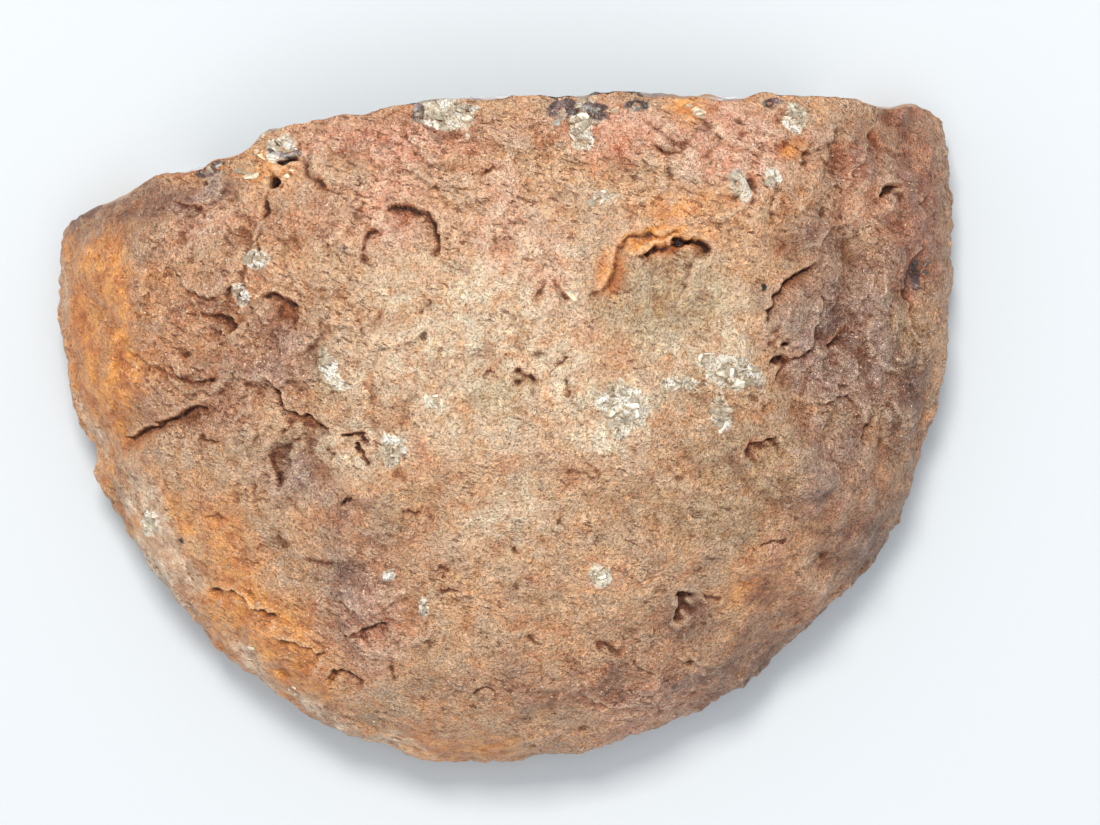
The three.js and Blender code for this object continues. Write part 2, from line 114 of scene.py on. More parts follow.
# Ledges where layers have spalled off: (drop, reach, then x, y of each point). Walking
# along them the lower side is on the right. It comes back to the dome over `reach`.
LEDGES = [
    (0.9, 13, 10.5, 3, 12.8, 3.9, 13.9, 5.2, 14.8, 6.9, 15.2, 8.6, 16.2, 10.9, 18.5, 11.5, 24, 12.1,
     26.8, 11.2),
    (2.1, 12, 17.2, 9.3, 19.3, 9.6, 21.2, 10, 22.8, 10.4, 25.2, 10.8, 27, 11.1, 28.2, 10, 29.2, 9),
    (1.2, 7, -17, 15.1, -14.8, 15.6, -12.3, 15.8, -10.3, 14.8, -8.9, 13.2, -8.4, 10.9, -8.5, 7.7),
    (0.8, 4, -19.7, 6.8, -19.1, 9.7, -18.3, 11.6, -16.1, 12.2),
    (1.4, 8, -33.7, 3.3, -32.1, 3.8, -29.7, 3, -27.4, 2),
    (1.1, 5, -40.4, 1.5, -38.3, 0.5, -37, -0.8, -36.3, -2.5),
    (1, 4, -45.8, -5.9, -43.8, -7.6, -42, -8, -40.1, -7.2, -39, -8.3),
    (1.4, 6, -52.4, -15.7, -49.5, -14.8, -47.4, -14.5, -45.7, -13.2, -42.1, -11.9, -39.8, -12.4),
    (1.3, 7, -32, -7, -29.6, -11, -27.1, -12.8, -24.5, -14.1, -22.6, -16),
    (1, 4, -30.2, -23.8, -31.5, -21.9, -31.8, -19.3, -31, -17.4),
    (1.1, 5, -22.6, -16, -20.4, -15.2, -18.6, -15.6, -17.4, -17.6),
    (1.4, 6, -40.6, -37.3, -38.4, -36.1, -36.4, -36.7, -34.4, -37.8, -32.4, -38.7, -30.6, -39.7),
    (1.3, 5, -31.2, -43.8, -29.8, -43.1, -27.8, -43, -26.2, -44.3, -23.9, -45.7),
    (1, 4, -23.8, -49.1, -22.9, -47.4, -21.2, -47, -19.7, -47.9, -18.7, -49),
    (0.9, 4, -21.1, -42.2, -19.5, -41.1, -17.3, -40.5, -15.1, -41.5),
    (1.7, 5, 24.4, -41.5, 23.6, -39.8, 23.5, -38, 24.6, -36.5),
    (1, 5, 32.5, -18, 33.8, -17.3, 35.5, -16.4, 37.5, -15.5),
    (1.5, 9, 35.2, -0.8, 35.8, 1.4, 37.1, 3.6, 38.7, 5.3, 40.8, 7.1, 43.5, 8.4),
    (1, 5, 36.6, -8.6, 38.4, -6.2, 40.2, -4.6, 42.6, -3.4),
    (1.2, 5, 55.4, -3.5, 55.8, 2.4, 55.6, 7.1, 56, 11.1, 56.6, 15.2, 57.6, 19.6),
    (1, 4, 25.3, 24, 23.9, 22.4, 22.3, 21.5, 20.8, 22.9, 20.4, 24.2),
    (0.9, 5, 0.4, -6.2, 2.4, -6.8, 3.8, -7.4, 6, -8.2),
    (0.5, 2.5, -11.6, 0.5, -11.3, 1.9, -10.9, 2.8, -10.1, 3.1),
    (0.5, 2, 4.1, 1.9, 4.3, 3.5, 4.7, 4.7, 5.5, 5.7), (0.5, 2, 7.2, 5.5, 8, 3.9, 9.2, 2.7),
    (0.4, 2, -3.6, -8.1, -3.1, -7.3, -2.3, -6.8, -1.1, -7.2), (0.5, 2.5, 6.8, -4.7, 7.6, -5.1, 8.4, -4.3),
    (0.4, 2, -19.2, 2.3, -18.8, -0.7, -18.5, -2.7), (0.7, 3, -19.3, -17.6, -18.1, -18.5, -17.3, -19.6),
    (0.7, 3, -42, 1.1, -40.4, 1.2, -38.6, 0.7, -38.9, -0.5, -38.1, -2.3, -37.8, -3.5),
    (0.7, 3.5, -51.3, -3.1, -49.3, -4.3, -46.8, -6.3, -45.6, -7.6, -43.6, -7.7, -42, -7.2, -41.2, -7.6),
    (0.6, 2.5, -35.8, -8.9, -34.6, -8.5, -33.2, -9.2, -32.5, -8.8),
    (0.8, 2.5, -41.6, -15.7, -40.4, -15.8, -39.3, -16.2, -38.9, -17),
    (0.9, 4, -30.5, -12.3, -29.7, -13.6, -28.1, -13.2, -26.9, -14.4, -25.7, -14.4),
    (0.5, 2.5, -24.8, -16.9, -24, -17.7, -22.8, -17.8), (0.6, 2.5, -53.7, -13.6, -52.7, -12, -51.7, -11.2),
    (0.5, 2, -45, 16.7, -42.9, 16.2, -41, 14.6, -40, 13.2),
    (0.5, 2, -27.4, 21.6, -25.4, 19.2, -23.4, 17.6, -21.3, 16.7, -20.4, 17.8),
    (0.5, 2, -3.4, 19.4, -2, 20.5, -0.7, 20.9, 0.7, 20.8),
    (0.6, 2.5, -14.6, -26.3, -12.6, -25.9, -10.5, -26.5), (0.5, 2.5, -9, -36.5, -7.7, -36.2, -5.8, -36.7),
    (0.7, 3, -22.5, -42, -20.7, -41.4, -18.2, -42, -16.9, -43.2),
    (0.6, 2.5, -15, -45.2, -14.2, -46.7, -13.6, -48.3), (0.5, 2, -10.5, -33.8, -8.8, -33.2, -6.9, -33.6),
    (0.5, 2, 19.6, 27.3, 21.2, 26.1, 23.1, 23.8, 25, 24.8, 25.8, 25.9),
    (0.7, 3, 50.9, 18, 52, 17.3, 53.1, 16.7, 54.1, 15.7),
    (0.6, 2.5, 39.6, 20.5, 40.5, 22, 40.9, 23.5, 42, 24.6), (0.5, 2, 36, -4.3, 37, -2.4, 38.2, -1.4),
    (0.5, 2.5, 40.9, -10.5, 41.7, -8.9, 42.3, -7, 42.8, -5.4),
    (0.6, 2.5, 35.2, -12.4, 35.8, -10.8, 36.9, -9.7), (0.5, 2.5, 45.2, -3.4, 46.3, -2.3, 47.8, -0.7),
    (0.5, 2.5, 48.2, -16.2, 49, -14.6, 49.8, -12.8), (0.5, 2.5, 26.6, -37.8, 28.2, -37.3, 29.6, -37.8),
    (0.5, 2.5, 11.7, -44.6, 13.6, -44, 15.5, -44.6, 17.1, -44),
    (0.5, 2.5, -4.5, -50, -2.3, -49.4, -0.1, -50), (0.5, 2.5, 34.7, -30.4, 36.3, -29.7, 38.2, -30.1),
    (0.5, 2.5, 7.7, -20.2, 9.7, -19.8, 11.7, -20.4, 13.6, -20),
    (0.5, 2.5, -34.2, -21.6, -33.5, -23.2, -32.5, -24.3), (0.5, 2.5, -40.9, -27, -39, -26.6, -37.1, -27.1),
    (0.6, 3, -27.4, -32.4, -25.8, -31.9, -23.9, -32.4, -22.3, -32),
]
LEDGE_SHARE = 0.7  # how much of each drop is taken
LEDGE_TAPER = 0.2  # share of a ledge over which each end dies out
LEDGE_CURVE = 1.5
LEDGE_FAR = 4  # the distance stored where no ledge is near
RISER = 0.3
CLEFT_DEPTH = 0.36
CLEFT_WIDTH = 0.25

# Raggedness of drawn lines: (size, shift), and a seed for each direction.
RAGS = [(2.4, 0.8), (1.1, 0.5), (0.6, 0.3)]
RAG_SEEDS = (4, 14)

# Lumps all over, at the lower rim, at the knobbed shoulder and in the hollow: (size, height).
RIND_LUMPS = [(16, 0.9), (8, 0.8), (5, 0.5)]
RIND_LUMP_SHARE = 0.75
FINE_LUMPS = [(3.0, 0.18), (1.7, 0.1), (1.0, 0.07), (0.6, 0.05)]
RIM_LUMPS = [(2.6, 0.35), (1.3, 0.28), (0.8, 0.16)]
KNOBS = [(6, 1.3), (3, 0.6)]
HOLLOW_LUMPS = [(13, 0.6), (6, 0.3)]

# Layers of spalled plates: (spacing, rise, share of the places that have one).
PLATES = [(9.0, 0.75, 0.45), (4.6, 0.55, 0.55), (2.6, 0.34, 0.7), (1.5, 0.22, 0.7)]
TONED_LAYER = 2  # its plates differ in colour too
PLATE_SWING = 2.6
PLATE_EDGE = 0.3
PLATE_DEPTH = 0.62
FLAKE_SPACING = 1.9
FLAKE_RISE = 0.7

# Single holes and clefts: (how deep, x, y, half width, half depth, turn in degrees).
HOLES = [
    (2.4, -30.9, 18.6, 1, 1.2), (0.7, -32.3, 15.2, 0.6, 2.2, -25), (0.6, -33.5, 10.3, 0.5, 2.2, -8),
    (1.1, 37.8, -5.9, 1.8, 0.6), (1.2, 52, 17.5, 1.3, 0.6, -15), (1.6, 56.3, 15.4, 1.6, 0.8, -50),
    (0.7, 47, -2.6, 0.9, 0.5, 40), (0.6, -19, -17.8, 0.9, 0.5, -40), (0.6, -21.4, -24.8, 1.4, 0.4, 35),
    (0.9, 24.4, -38.6, 1, 1.4), (0.8, 39.2, -3, 0.8, 0.5), (1.5, -29.2, 21.4, 1.6, 0.4, -8),
    (2.2, 24.6, 10.75, 3, 0.34, 7), (1.3, 20.4, 9.85, 1, 0.3, 12),
]
PIT_SPACING = 3.2
PIT_CHANCE = 0.1
PIT_DEPTH = 0.4
PIT_SEED = 100

# The fracture's chips and grain: (size, amount, slice of the noise).
FRACTURE_CHIPS = [(9, 0.7, 5), (3.4, 0.5, 9)]
FRACTURE_GRAIN = [(1.5, 0.25, 3), (0.8, 0.12, 6)]
FRACTURE_LEAN = 0.01
FRACTURE_BITE = 0.7
BITE_HEIGHT = 1.6

# Cells of the meshes, and the share of the rind's triangles that is kept.
RIND_CELLS = 430
RIND_RINGS = 20
RIND_SHARE = 0.44
HOLLOW_CELLS = 90
HOLLOW_RINGS = 6
UNDER_FLOOR = -1

# The slab beyond the break: how far it goes along x and z, its cells and its far side.
SLAB_X = (-72, 72)
SLAB_Z = (-4, 50)
SLAB_CELLS = (200, 74)
SLAB_FAR = 80

# ---- Repeatable roughness ----

HASH_NUMBERS = np.array([374761393, 668265263, 1274126177, 1103515245, 13, 16], dtype=np.uint32)


def lattice_value(i, j, k):
    """A number from 0 to 1 that belongs to each corner of a lattice of cubes."""
    i, j, k = (np.asarray(v).astype(np.int64).astype(np.uint32) for v in (i, j, k))
    times_i, times_j, times_k, stir, shift, last_shift = HASH_NUMBERS
    with np.errstate(over="ignore"):
        mixed = i * times_i + j * times_j + k * times_k
        mixed = (mixed ^ (mixed >> shift)) * stir
    return (mixed ^ (mixed >> last_shift)) / 2**32


def draw(i, j, k):
    return float(lattice_value(i, j, k))


def ease(t):
    return t * t * (3 - 2 * t)


def smooth_step(low, high, value):
    return ease(np.clip((value - low) / (high - low), 0, 1))


def noise(x, y, z):
    """Smooth noise from -1 to 1 that changes over about one unit."""
    x, y, z = np.broadcast_arrays(x, y, z)
    i, j, k = np.floor(x), np.floor(y), np.floor(z)
    shares = [(1 - share, share) for share in (ease(x - i), ease(y - j), ease(z - k))]
    total = 0
    for a, b, c in np.ndindex(2, 2, 2):
        share = shares[0][a] * shares[1][b] * shares[2][c]
        total = total + share * lattice_value(i + a, j + b, k + c)
    return 2 * total - 1


def lumps(x, y, z, octaves):
    return sum(amount * noise(x / size, y / size, z / size) for size, amount in octaves)


def cloud(x, y, z, size):
    """Noise with three layers of finer noise on it."""
    total = 0
    for n in range(4):
        u, v, w = (place / size * 2**n for place in (x, y, z))
        total = total + noise(u + 31 * n, v, w) / 2**n
    return total / 1.5


def pits(x, y, z):
    """How deep each point lies in scattered round pits, from 0 to 1."""
    cell = [np.floor(v / PIT_SPACING) for v in (x, y, z)]
    depth = np.zeros_like(x)
    for step in np.ndindex(3, 3, 3):
        i, j, k = (c + s - 1 for c, s in zip(cell, step))
        radius = PIT_SPACING * (0.2 + 0.28 * lattice_value(i, j, k + PIT_SEED + 7))
        centre = [
            (index + 0.2 + 0.6 * lattice_value(i + shift, j, k + PIT_SEED)) * PIT_SPACING
            for index, shift in ((i, 11), (j, 23), (k, 37))
        ]
        distance = np.sqrt(sum((v - c) ** 2 for v, c in zip((x, y, z), centre))) / radius
        here = lattice_value(i, j, k + PIT_SEED + 3) < PIT_CHANCE
        depth = np.maximum(depth, np.where(here, 1 - smooth_step(0.35, 1.0, distance), 0))
    return depth


# ---- The nodule's shape ----


def outline_radius(angle):
    """Plan radius of the nodule at its waist, in each direction."""
    radius = RADIUS
    for centre, spread, swell in LOBES:
        turn = (np.degrees(angle) - centre + 180) % 360 - 180
        radius = radius + swell * np.exp(-((turn / spread) ** 2))
    return radius


def dome_height(share, inset):
    """Height of the smooth dome at a share of its plan radius."""
    fall = (1 - np.clip(share, 0, 1) ** SHOULDER_POWER) ** CROWN_POWER
    return WAIST_Z + (HEIGHT - inset - WAIST_Z) * fall


def outward(x, y, z):
    """Outward direction at points of the dome. Below the waist it is level."""
    rise = np.maximum(z - WAIST_Z, 0) / (HEIGHT - WAIST_Z) ** 2
    direction = np.stack([x / RADIUS**2, y / RADIUS**2, rise], axis=-1)
    return direction / np.maximum(np.linalg.norm(direction, axis=-1, keepdims=True), 1e-12)


def around_axis(angle, radius, z):
    return np.stack([radius * np.cos(angle), radius * np.sin(angle), z], axis=-1)


def dome_points(angle, latitude, inset):
    """Points above the waist. `latitude` runs from 0 on top to 1 at the waist."""
    share = np.sin(latitude * math.pi / 2) ** (2 / SHOULDER_POWER)
    return around_axis(angle, (outline_radius(angle) - inset) * share, dome_height(share, inset))


def skirt_points(angle, depth, inset, floor):
    """Points below the waist. `depth` runs from 0 at the waist to 1 at `floor`."""
    z = WAIST_Z + (floor - WAIST_Z) * depth
    drop = min((WAIST_Z - z) / WAIST_Z, 1)
    radius = outline_radius(angle) - inset - TUCK * drop**2
    return around_axis(angle, radius, np.full_like(angle, z))


def disc_place(a, b):
    """Where a square grid's points (a and b from -1 to 1) lie on a disc: latitude, angle."""
    by_column = np.abs(a) > np.abs(b)
    reach = np.where(by_column, a, b)
    safe = np.where(reach == 0, 1, reach)
    turn = np.where(by_column, math.pi / 4 * b / safe, math.pi / 2 - math.pi / 4 * a / safe)
    return np.abs(reach), np.where(reach < 0, turn + math.pi, turn)


def break_line(x):
    """Where the broken side stands in plan."""
    sweep = BREAK_SWEEP * (np.maximum(-x, 0) / RADIUS) ** 1.62
    step = BREAK_STEP * smooth_step(0, BREAK_STEP_WIDTH, BREAK_STEP_X - x)
    corner = BREAK_CORNER * np.maximum(x - BREAK_CORNER_X, 0) ** 2
    return BREAK_Y - sweep - step - corner


def depth_inside(x, y, z):
    """How far points lie inside the smooth nodule."""
    radius = np.hypot(x, y)
    outline = outline_radius(np.arctan2(y, x))
    above = np.maximum(dome_height(radius / outline, 0) - z, 1e-3)
    level = np.clip((z - WAIST_Z) / (HEIGHT - WAIST_Z), 0, 1) ** (1 / CROWN_POWER)
    tuck = TUCK * (np.clip(WAIST_Z - z, 0, WAIST_Z) / WAIST_Z) ** 2
    beside = np.maximum(outline * (1 - level) ** (1 / SHOULDER_POWER) - tuck - radius, 1e-3)
    return above * beside / np.hypot(above, beside)


def seen(x, y, z):
    """Where points show from the camera, at the waist's scale. The tables of ledges,
    holes, zones and chips give these places."""
    scale = (EYE_HEIGHT - WAIST_Z) / (EYE_HEIGHT - z)
    return EYE_X + (x - EYE_X) * scale, EYE_Y + (y - EYE_Y) * scale


def within(x, y, centre_x, centre_y, half_x, half_y, turn=0):
    """Place within a turned ellipse, in shares of its half width and half depth."""
    cos, sin = math.cos(math.radians(turn)), math.sin(math.radians(turn))
    dx, dy = x - centre_x, y - centre_y
    return (dx * cos + dy * sin) / half_x, (dy * cos - dx * sin) / half_y


# ---- Relief of the rind ----


def along_ledge(x, y, line):
    """For points near a ledge: their distance from it, how far to its left they are,
    their share of the way along it, and how squarely it runs towards +X there."""
    steps = np.diff(line, axis=0)
    lengths = np.linalg.norm(steps, axis=1)
    best = np.full(len(x), np.inf)
    found = np.zeros((4, len(x)))
    for n, length in enumerate(lengths):
        step = steps[n] / length
        dx, dy = x - line[n][0], y - line[n][1]
        run = np.clip(dx * step[0] + dy * step[1], 0, length)
        gap = np.hypot(dx - run * step[0], dy - run * step[1])
        left = step[0] * dy - step[1] * dx
        share = (lengths[:n].sum() + run) / lengths.sum()
        score = gap - 1e-3 * np.abs(left)
        closer = score < best
        best = np.where(closer, score, best)
        found = np.where(closer, np.broadcast_arrays(gap, left, share, step[0]), found)
    return found


def ledge_field(x, y):
    """Height of the ledges, signed distance to the nearest one's edge (above 0 on its
    high side) and how much of that ledge there is. That last is also how dark the painted
    shade at its foot is, most where the drop faces -Y, away from the key light."""
    height, strength = np.zeros_like(x), np.zeros_like(x)
    signed = np.full_like(x, LEDGE_FAR)
    for drop, reach, *points in LEDGES:
        line = np.reshape(points, (-1, 2))
        low, high = line.min(axis=0) - reach, line.max(axis=0) + reach
        near = np.flatnonzero((x > low[0]) & (x < high[0]) & (y > low[1]) & (y < high[1]))
        near_x, near_y = x[near], y[near]
        distance, side, along, heading = along_ledge(near_x, near_y, line)
        taper = smooth_step(0, LEDGE_TAPER, along) * smooth_step(0, LEDGE_TAPER, 1 - along)
        from_edge = np.where(side < 0, -distance, distance)
        fallen = 1 - smooth_step(-RISER, 0.05, from_edge)
        slope = (1 - np.clip(-from_edge / reach, 0, 1)) ** LEDGE_CURVE
        # More bite, for a deeper cleft and darker painted shade at the foot, where the drop faces -Y, away
        # from the key light.
        bite = taper * (0.3 + 0.7 * np.clip(heading, 0, 1)) * min(1, 0.3 + 0.6 * drop)
        bite *= 0.75 + 0.4 * noise(near_x / 2.5, near_y / 2.5, 3)
        cleft = CLEFT_DEPTH * bite * np.exp(-(((from_edge + RISER) / CLEFT_WIDTH) ** 2))
        rise = -drop * (taper * fallen * slope + cleft)
        height[near] = np.where(np.abs(rise) > np.abs(height[near]), rise, height[near])
        nearer = (distance < np.abs(signed[near])) & (taper > 0.02)
        signed[near] = np.where(nearer, from_edge, signed[near])
        strength[near] = np.where(nearer, bite, strength[near])
    return height, signed, strength


def ragged_place(x, y):
    """The plan position, shifted so that lines drawn at it come out ragged."""
    shift_x, shift_y = (
        sum(amount * noise(x / size, y / size, seed + amount) for size, amount in RAGS)
        for seed in RAG_SEEDS
    )
    return x + shift_x, y + shift_y


def unrolled(x, y, z):
    """Plan position with the flanks laid out flat, so that patterns keep their size."""
    stretch = 1 + 0.8 * (HEIGHT - z) / np.maximum(np.hypot(x, y), 1)
    return x * stretch, y * stretch


def plate_layer(u, v, spacing, share, swing=PLATE_SWING):
    """Overlapping plates, from 0 to 1, each tilted up to one sharp edge, and a number
    from 0 to 1 that belongs to the plate on top."""
    i, j = np.floor(u / spacing), np.floor(v / spacing)
    layer, tone = np.zeros_like(u), np.full_like(u, 0.5)
    for step in np.ndindex(3, 3):
        a, b = i + step[0] - 1, j + step[1] - 1
        seeds = range(round(10 * spacing), round(10 * spacing) + 6)
        lot, shift_u, shift_v, turn, size, rise = (lattice_value(a, b, seed) for seed in seeds)
        reach = spacing * (0.55 + 0.45 * size)
        du, dv = u - (a + shift_u) * spacing, v - (b + shift_v) * spacing
        turn = swing * (turn - 0.5)
        along = du * np.cos(turn) + dv * np.sin(turn)
        uphill = (dv * np.cos(turn) - du * np.sin(turn)) / PLATE_DEPTH
        inside = 1 - smooth_step(reach - PLATE_EDGE, reach, np.hypot(along, uphill))
        plate = (0.35 + 0.65 * rise) * (0.5 - 0.5 * uphill / reach) * inside
        higher = (lot < share) & (plate > layer)
        layer, tone = np.where(higher, plate, layer), np.where(higher, size, tone)
    return layer, tone


def flakes(x, y, z):
    """The sharp flakes of the quartz patches, and the tone of each."""
    return plate_layer(*unrolled(x, y, z), FLAKE_SPACING, 1, 2 * math.pi)


def plates(x, y, z, rags):
    """Thin plates left where the rind has spalled: highest where it is rough, lowest in
    the grey hollow under the long ledge and on the amber side."""
    height = 0
    for spacing, rise, share in PLATES:
        rag = min(1, spacing / 6)
        u, v = unrolled(x + rag * (rags[0] - x), y + rag * (rags[1] - y), z)
        height = height + rise * plate_layer(u, v, spacing, share)[0]
    calm = np.maximum(zone_weight("grey", x, y, z), 0.75 * zone_weight("amber", x, y, z))
    return height * (0.3 + 0.7 * zone_weight("rough", x, y, z)) * (1 - 0.85 * calm)


def holes(x, y):
    """Depth of the single holes and clefts."""
    depth = np.zeros_like(x)
    for deepest, *ellipse in HOLES:
        share = np.hypot(*within(x, y, *ellipse))
        depth = np.maximum(depth, deepest * (1 - smooth_step(0.45, 1.15, share)))
    return depth


def rind_relief(points):
    """The smooth dome's points, moved out or in to the rough surface."""
    x, y, z = points.T
    seen_x, seen_y = seen(x, y, z)
    rags = ragged_place(seen_x, seen_y)
    height = RIND_LUMP_SHARE * lumps(x, y, z, RIND_LUMPS)
    for centre_x, centre_y, spread_x, spread_y, amount in SWELLS:
        height += amount * np.exp(-(((x - centre_x) / spread_x) ** 2) - ((y - centre_y) / spread_y) ** 2)
    height += LEDGE_SHARE * ledge_field(*rags)[0]
    height += plates(seen_x, seen_y, z, rags)
    height += FLAKE_RISE * flakes(*rags, z)[0] * zone_weight("quartz", seen_x, seen_y, z)
    height += lumps(x, y, z + 9, KNOBS) * smooth_step(28, 44, seen_x) * smooth_step(10, 24, z)
    height += lumps(x + 9, y, z, FINE_LUMPS)
    height += lumps(x, y + 9, z, RIM_LUMPS) * smooth_step(26, 12, z)
    height -= holes(*rags)
    height -= PIT_DEPTH * pits(*rags, z)
    return points + outward(x, y, z) * height[:, None]


# ---- Meshes ----


def add_object(name, data, family=None):
    """A new object in a collection, or else in the scene's own."""
    made = bpy.data.objects.new(name, data)
    (family or bpy.context.scene.collection).objects.link(made)
    return made


def new_object(name, points, faces, family=None):
    """A mesh object from points in the nodule's millimetres."""
    mesh = bpy.data.meshes.new(name)
    placed = (np.asarray(points) + (0, AXIS_Y, 0)) * MM
    mesh.from_pydata(placed.tolist(), [], faces)
    mesh.validate()
    return add_object(name, mesh, family)


def polygons(*corners):
    """Faces from arrays of vertex numbers, one array for each corner."""
    return np.stack([c.ravel() for c in corners], axis=1).tolist()


def sheet(index):
    """The faces of a grid of vertices."""
    return polygons(index[:-1, :-1], index[:-1, 1:], index[1:, 1:], index[1:, :-1])


def rim(index):
    """The vertices around a grid, in order."""
    return np.concatenate([index[0, :-1], index[:-1, -1], index[-1, :0:-1], index[:0:-1, 0]])


def band(ring, lower):
    """The faces between two rings of vertices."""
    return polygons(ring, lower, np.roll(lower, -1), np.roll(ring, -1))


def dome_grid(inset, floor, cells, rings):
    """Points and faces of a closed dome on z = floor, `inset` inside the smooth nodule."""
    side = np.linspace(-1, 1, cells + 1)
    latitude, angle = disc_place(*(v.ravel() for v in np.meshgrid(side, side)))
    points = [dome_points(angle, latitude, inset)]
    index = np.arange(len(angle)).reshape(cells + 1, cells + 1)
    faces = sheet(index)
    ring = rim(index)
    around = angle[ring]
    for level in range(1, rings + 1):
        points.append(skirt_points(around, level / rings, inset, floor))
        lower = np.arange(len(ring)) + len(angle) + (level - 1) * len(ring)
        faces += band(ring, lower)
        ring = lower
    points.append(np.array([[0, 0, floor]]))
    middle = np.full(len(ring), ring[-1] + 1)
    faces += polygons(middle, np.roll(ring, -1), ring)
    return np.concatenate(points), faces


def hollow_dome(name, inset, floor):
    """A dome with the hollow's soft lumps."""
    points, faces = dome_grid(inset, floor, HOLLOW_CELLS, HOLLOW_RINGS)
    x, y, z = points.T
    points = points + outward(x, y, z) * lumps(x, y, z, HOLLOW_LUMPS)[:, None]
    return new_object(name, points, faces)


def face_noise(x, z, octaves):
    return sum(amount * noise(x / size, cut_at, z / size) for size, amount, cut_at in octaves)


def break_face(x, z):
    """The fracture's place along y, over its width and height."""
    near = break_line(x) + FRACTURE_LEAN * (HEIGHT / 2 - z) + face_noise(x, z, FRACTURE_CHIPS)
    share = np.hypot(x, near) / outline_radius(np.arctan2(near, x))
    below_skin = np.maximum(dome_height(share, 0) - z, 0)
    bites = np.maximum(noise(x / 5, 2, 1) + 0.5 * noise(x / 2.1, 2, 5), 0)
    bites = FRACTURE_BITE * bites * np.exp(-((below_skin / BITE_HEIGHT) ** 2))
    return near + face_noise(x, z, FRACTURE_GRAIN) - bites


def beyond_break_object():
    """Everything beyond the broken side: a slab whose near face is the fracture."""
    columns, rows = SLAB_CELLS
    grid = np.meshgrid(np.linspace(*SLAB_X, columns + 1), np.linspace(*SLAB_Z, rows + 1))
    x, z = (v.ravel() for v in grid)
    points = [np.stack([x, y, z], axis=1) for y in (break_face(x, z), np.full_like(x, SLAB_FAR))]
    front = np.arange(len(x)).reshape(rows + 1, columns + 1)
    back = front + front.size
    faces = sheet(front) + sheet(back.T) + band(rim(front), rim(back))
    return new_object("beyond_break", np.concatenate(points), faces)


def settle(target):
    """Makes what an object's modifiers give its own mesh."""
    graph = bpy.context.evaluated_depsgraph_get()
    made = bpy.data.meshes.new_from_object(target.evaluated_get(graph), depsgraph=graph)
    target.modifiers.clear()
    target.data = made


def cut(target, operation, tool):
    """Joins, cuts or keeps what target shares with an object or a whole collection."""
    boolean = target.modifiers.new("cut", "BOOLEAN")
    boolean.operation = operation
    boolean.solver = "MANIFOLD"
    if isinstance(tool, bpy.types.Collection):
        boolean.operand_type = "COLLECTION"
        boolean.collection = tool
    else:
        boolean.object = tool
    settle(target)


def thin_out(target, share):
    """Keeps that share of a mesh's triangles, where they matter most to its shape."""
    target.modifiers.new("triangles", "TRIANGULATE")
    target.modifiers.new("thin", "DECIMATE").ratio = share
    settle(target)


def discard(*things):
    for thing in things:
        bpy.data.objects.remove(thing)


def new_family(name):
    """A collection for small meshes that are joined to one piece."""
    family = bpy.data.collections.new(name)
    bpy.context.scene.collection.children.link(family)
    return family


def join(target, family):
    """Joins a family of meshes to one piece, and uses them up."""
    cut(target, "UNION", family)
    discard(*family.objects)
    bpy.data.collections.remove(family)


def read(holder, what, name, size=1):
    """One property of all the elements of a mesh or an attribute, as an array."""
    elements = getattr(holder, what)
    values = np.empty(len(elements) * size)
    elements.foreach_get(name, values)
    return values.reshape(-1, size) if size > 1 else values


def nodule_place(mesh, what="vertices", name="co"):
    """Where a mesh's vertices or polygon centres are, in the nodule's millimetres."""
    return read(mesh, what, name, 3) / MM - (0, AXIS_Y, 0)


def store(mesh, name, values):
    """Keeps a number at each vertex, for a material to read by its name."""
    layer = mesh.attributes.get(name) or mesh.attributes.new(name, "FLOAT", "POINT")
    layer.data.foreach_set("value", np.asarray(values, dtype=np.float32))


def stored(mesh, name):
    return read(mesh.attributes[name], "data", "value")


def sunken(mesh, places, rounds):
    """How far each vertex lies below its neighbourhood: above 0 in pits, below 0 on edges."""
    a, b = read(mesh, "edges", "vertices", 2).astype(int).T

    def neighbour_sum(values):
        return np.bincount(a, values[b], len(places)) + np.bincount(b, values[a], len(places))

    count = np.maximum(neighbour_sum(np.ones(len(places))), 1)
    smooth = places.copy()
    for _ in range(rounds):
        for axis in smooth.T:
            axis[:] = 0.3 * axis + 0.7 * neighbour_sum(axis) / count
    return np.einsum("ij,ij->i", smooth - places, read(mesh, "vertices", "normal", 3))


def finish_mesh(mesh, sharp_angle):
    """Smooth shading, except across edges sharper than that."""
    mesh.polygons.foreach_set("use_smooth", np.ones(len(mesh.polygons), dtype=bool))
    mesh.set_sharp_from_angle(angle=math.radians(sharp_angle))
    mesh.update()


# ---- Colour zones of the rind ----

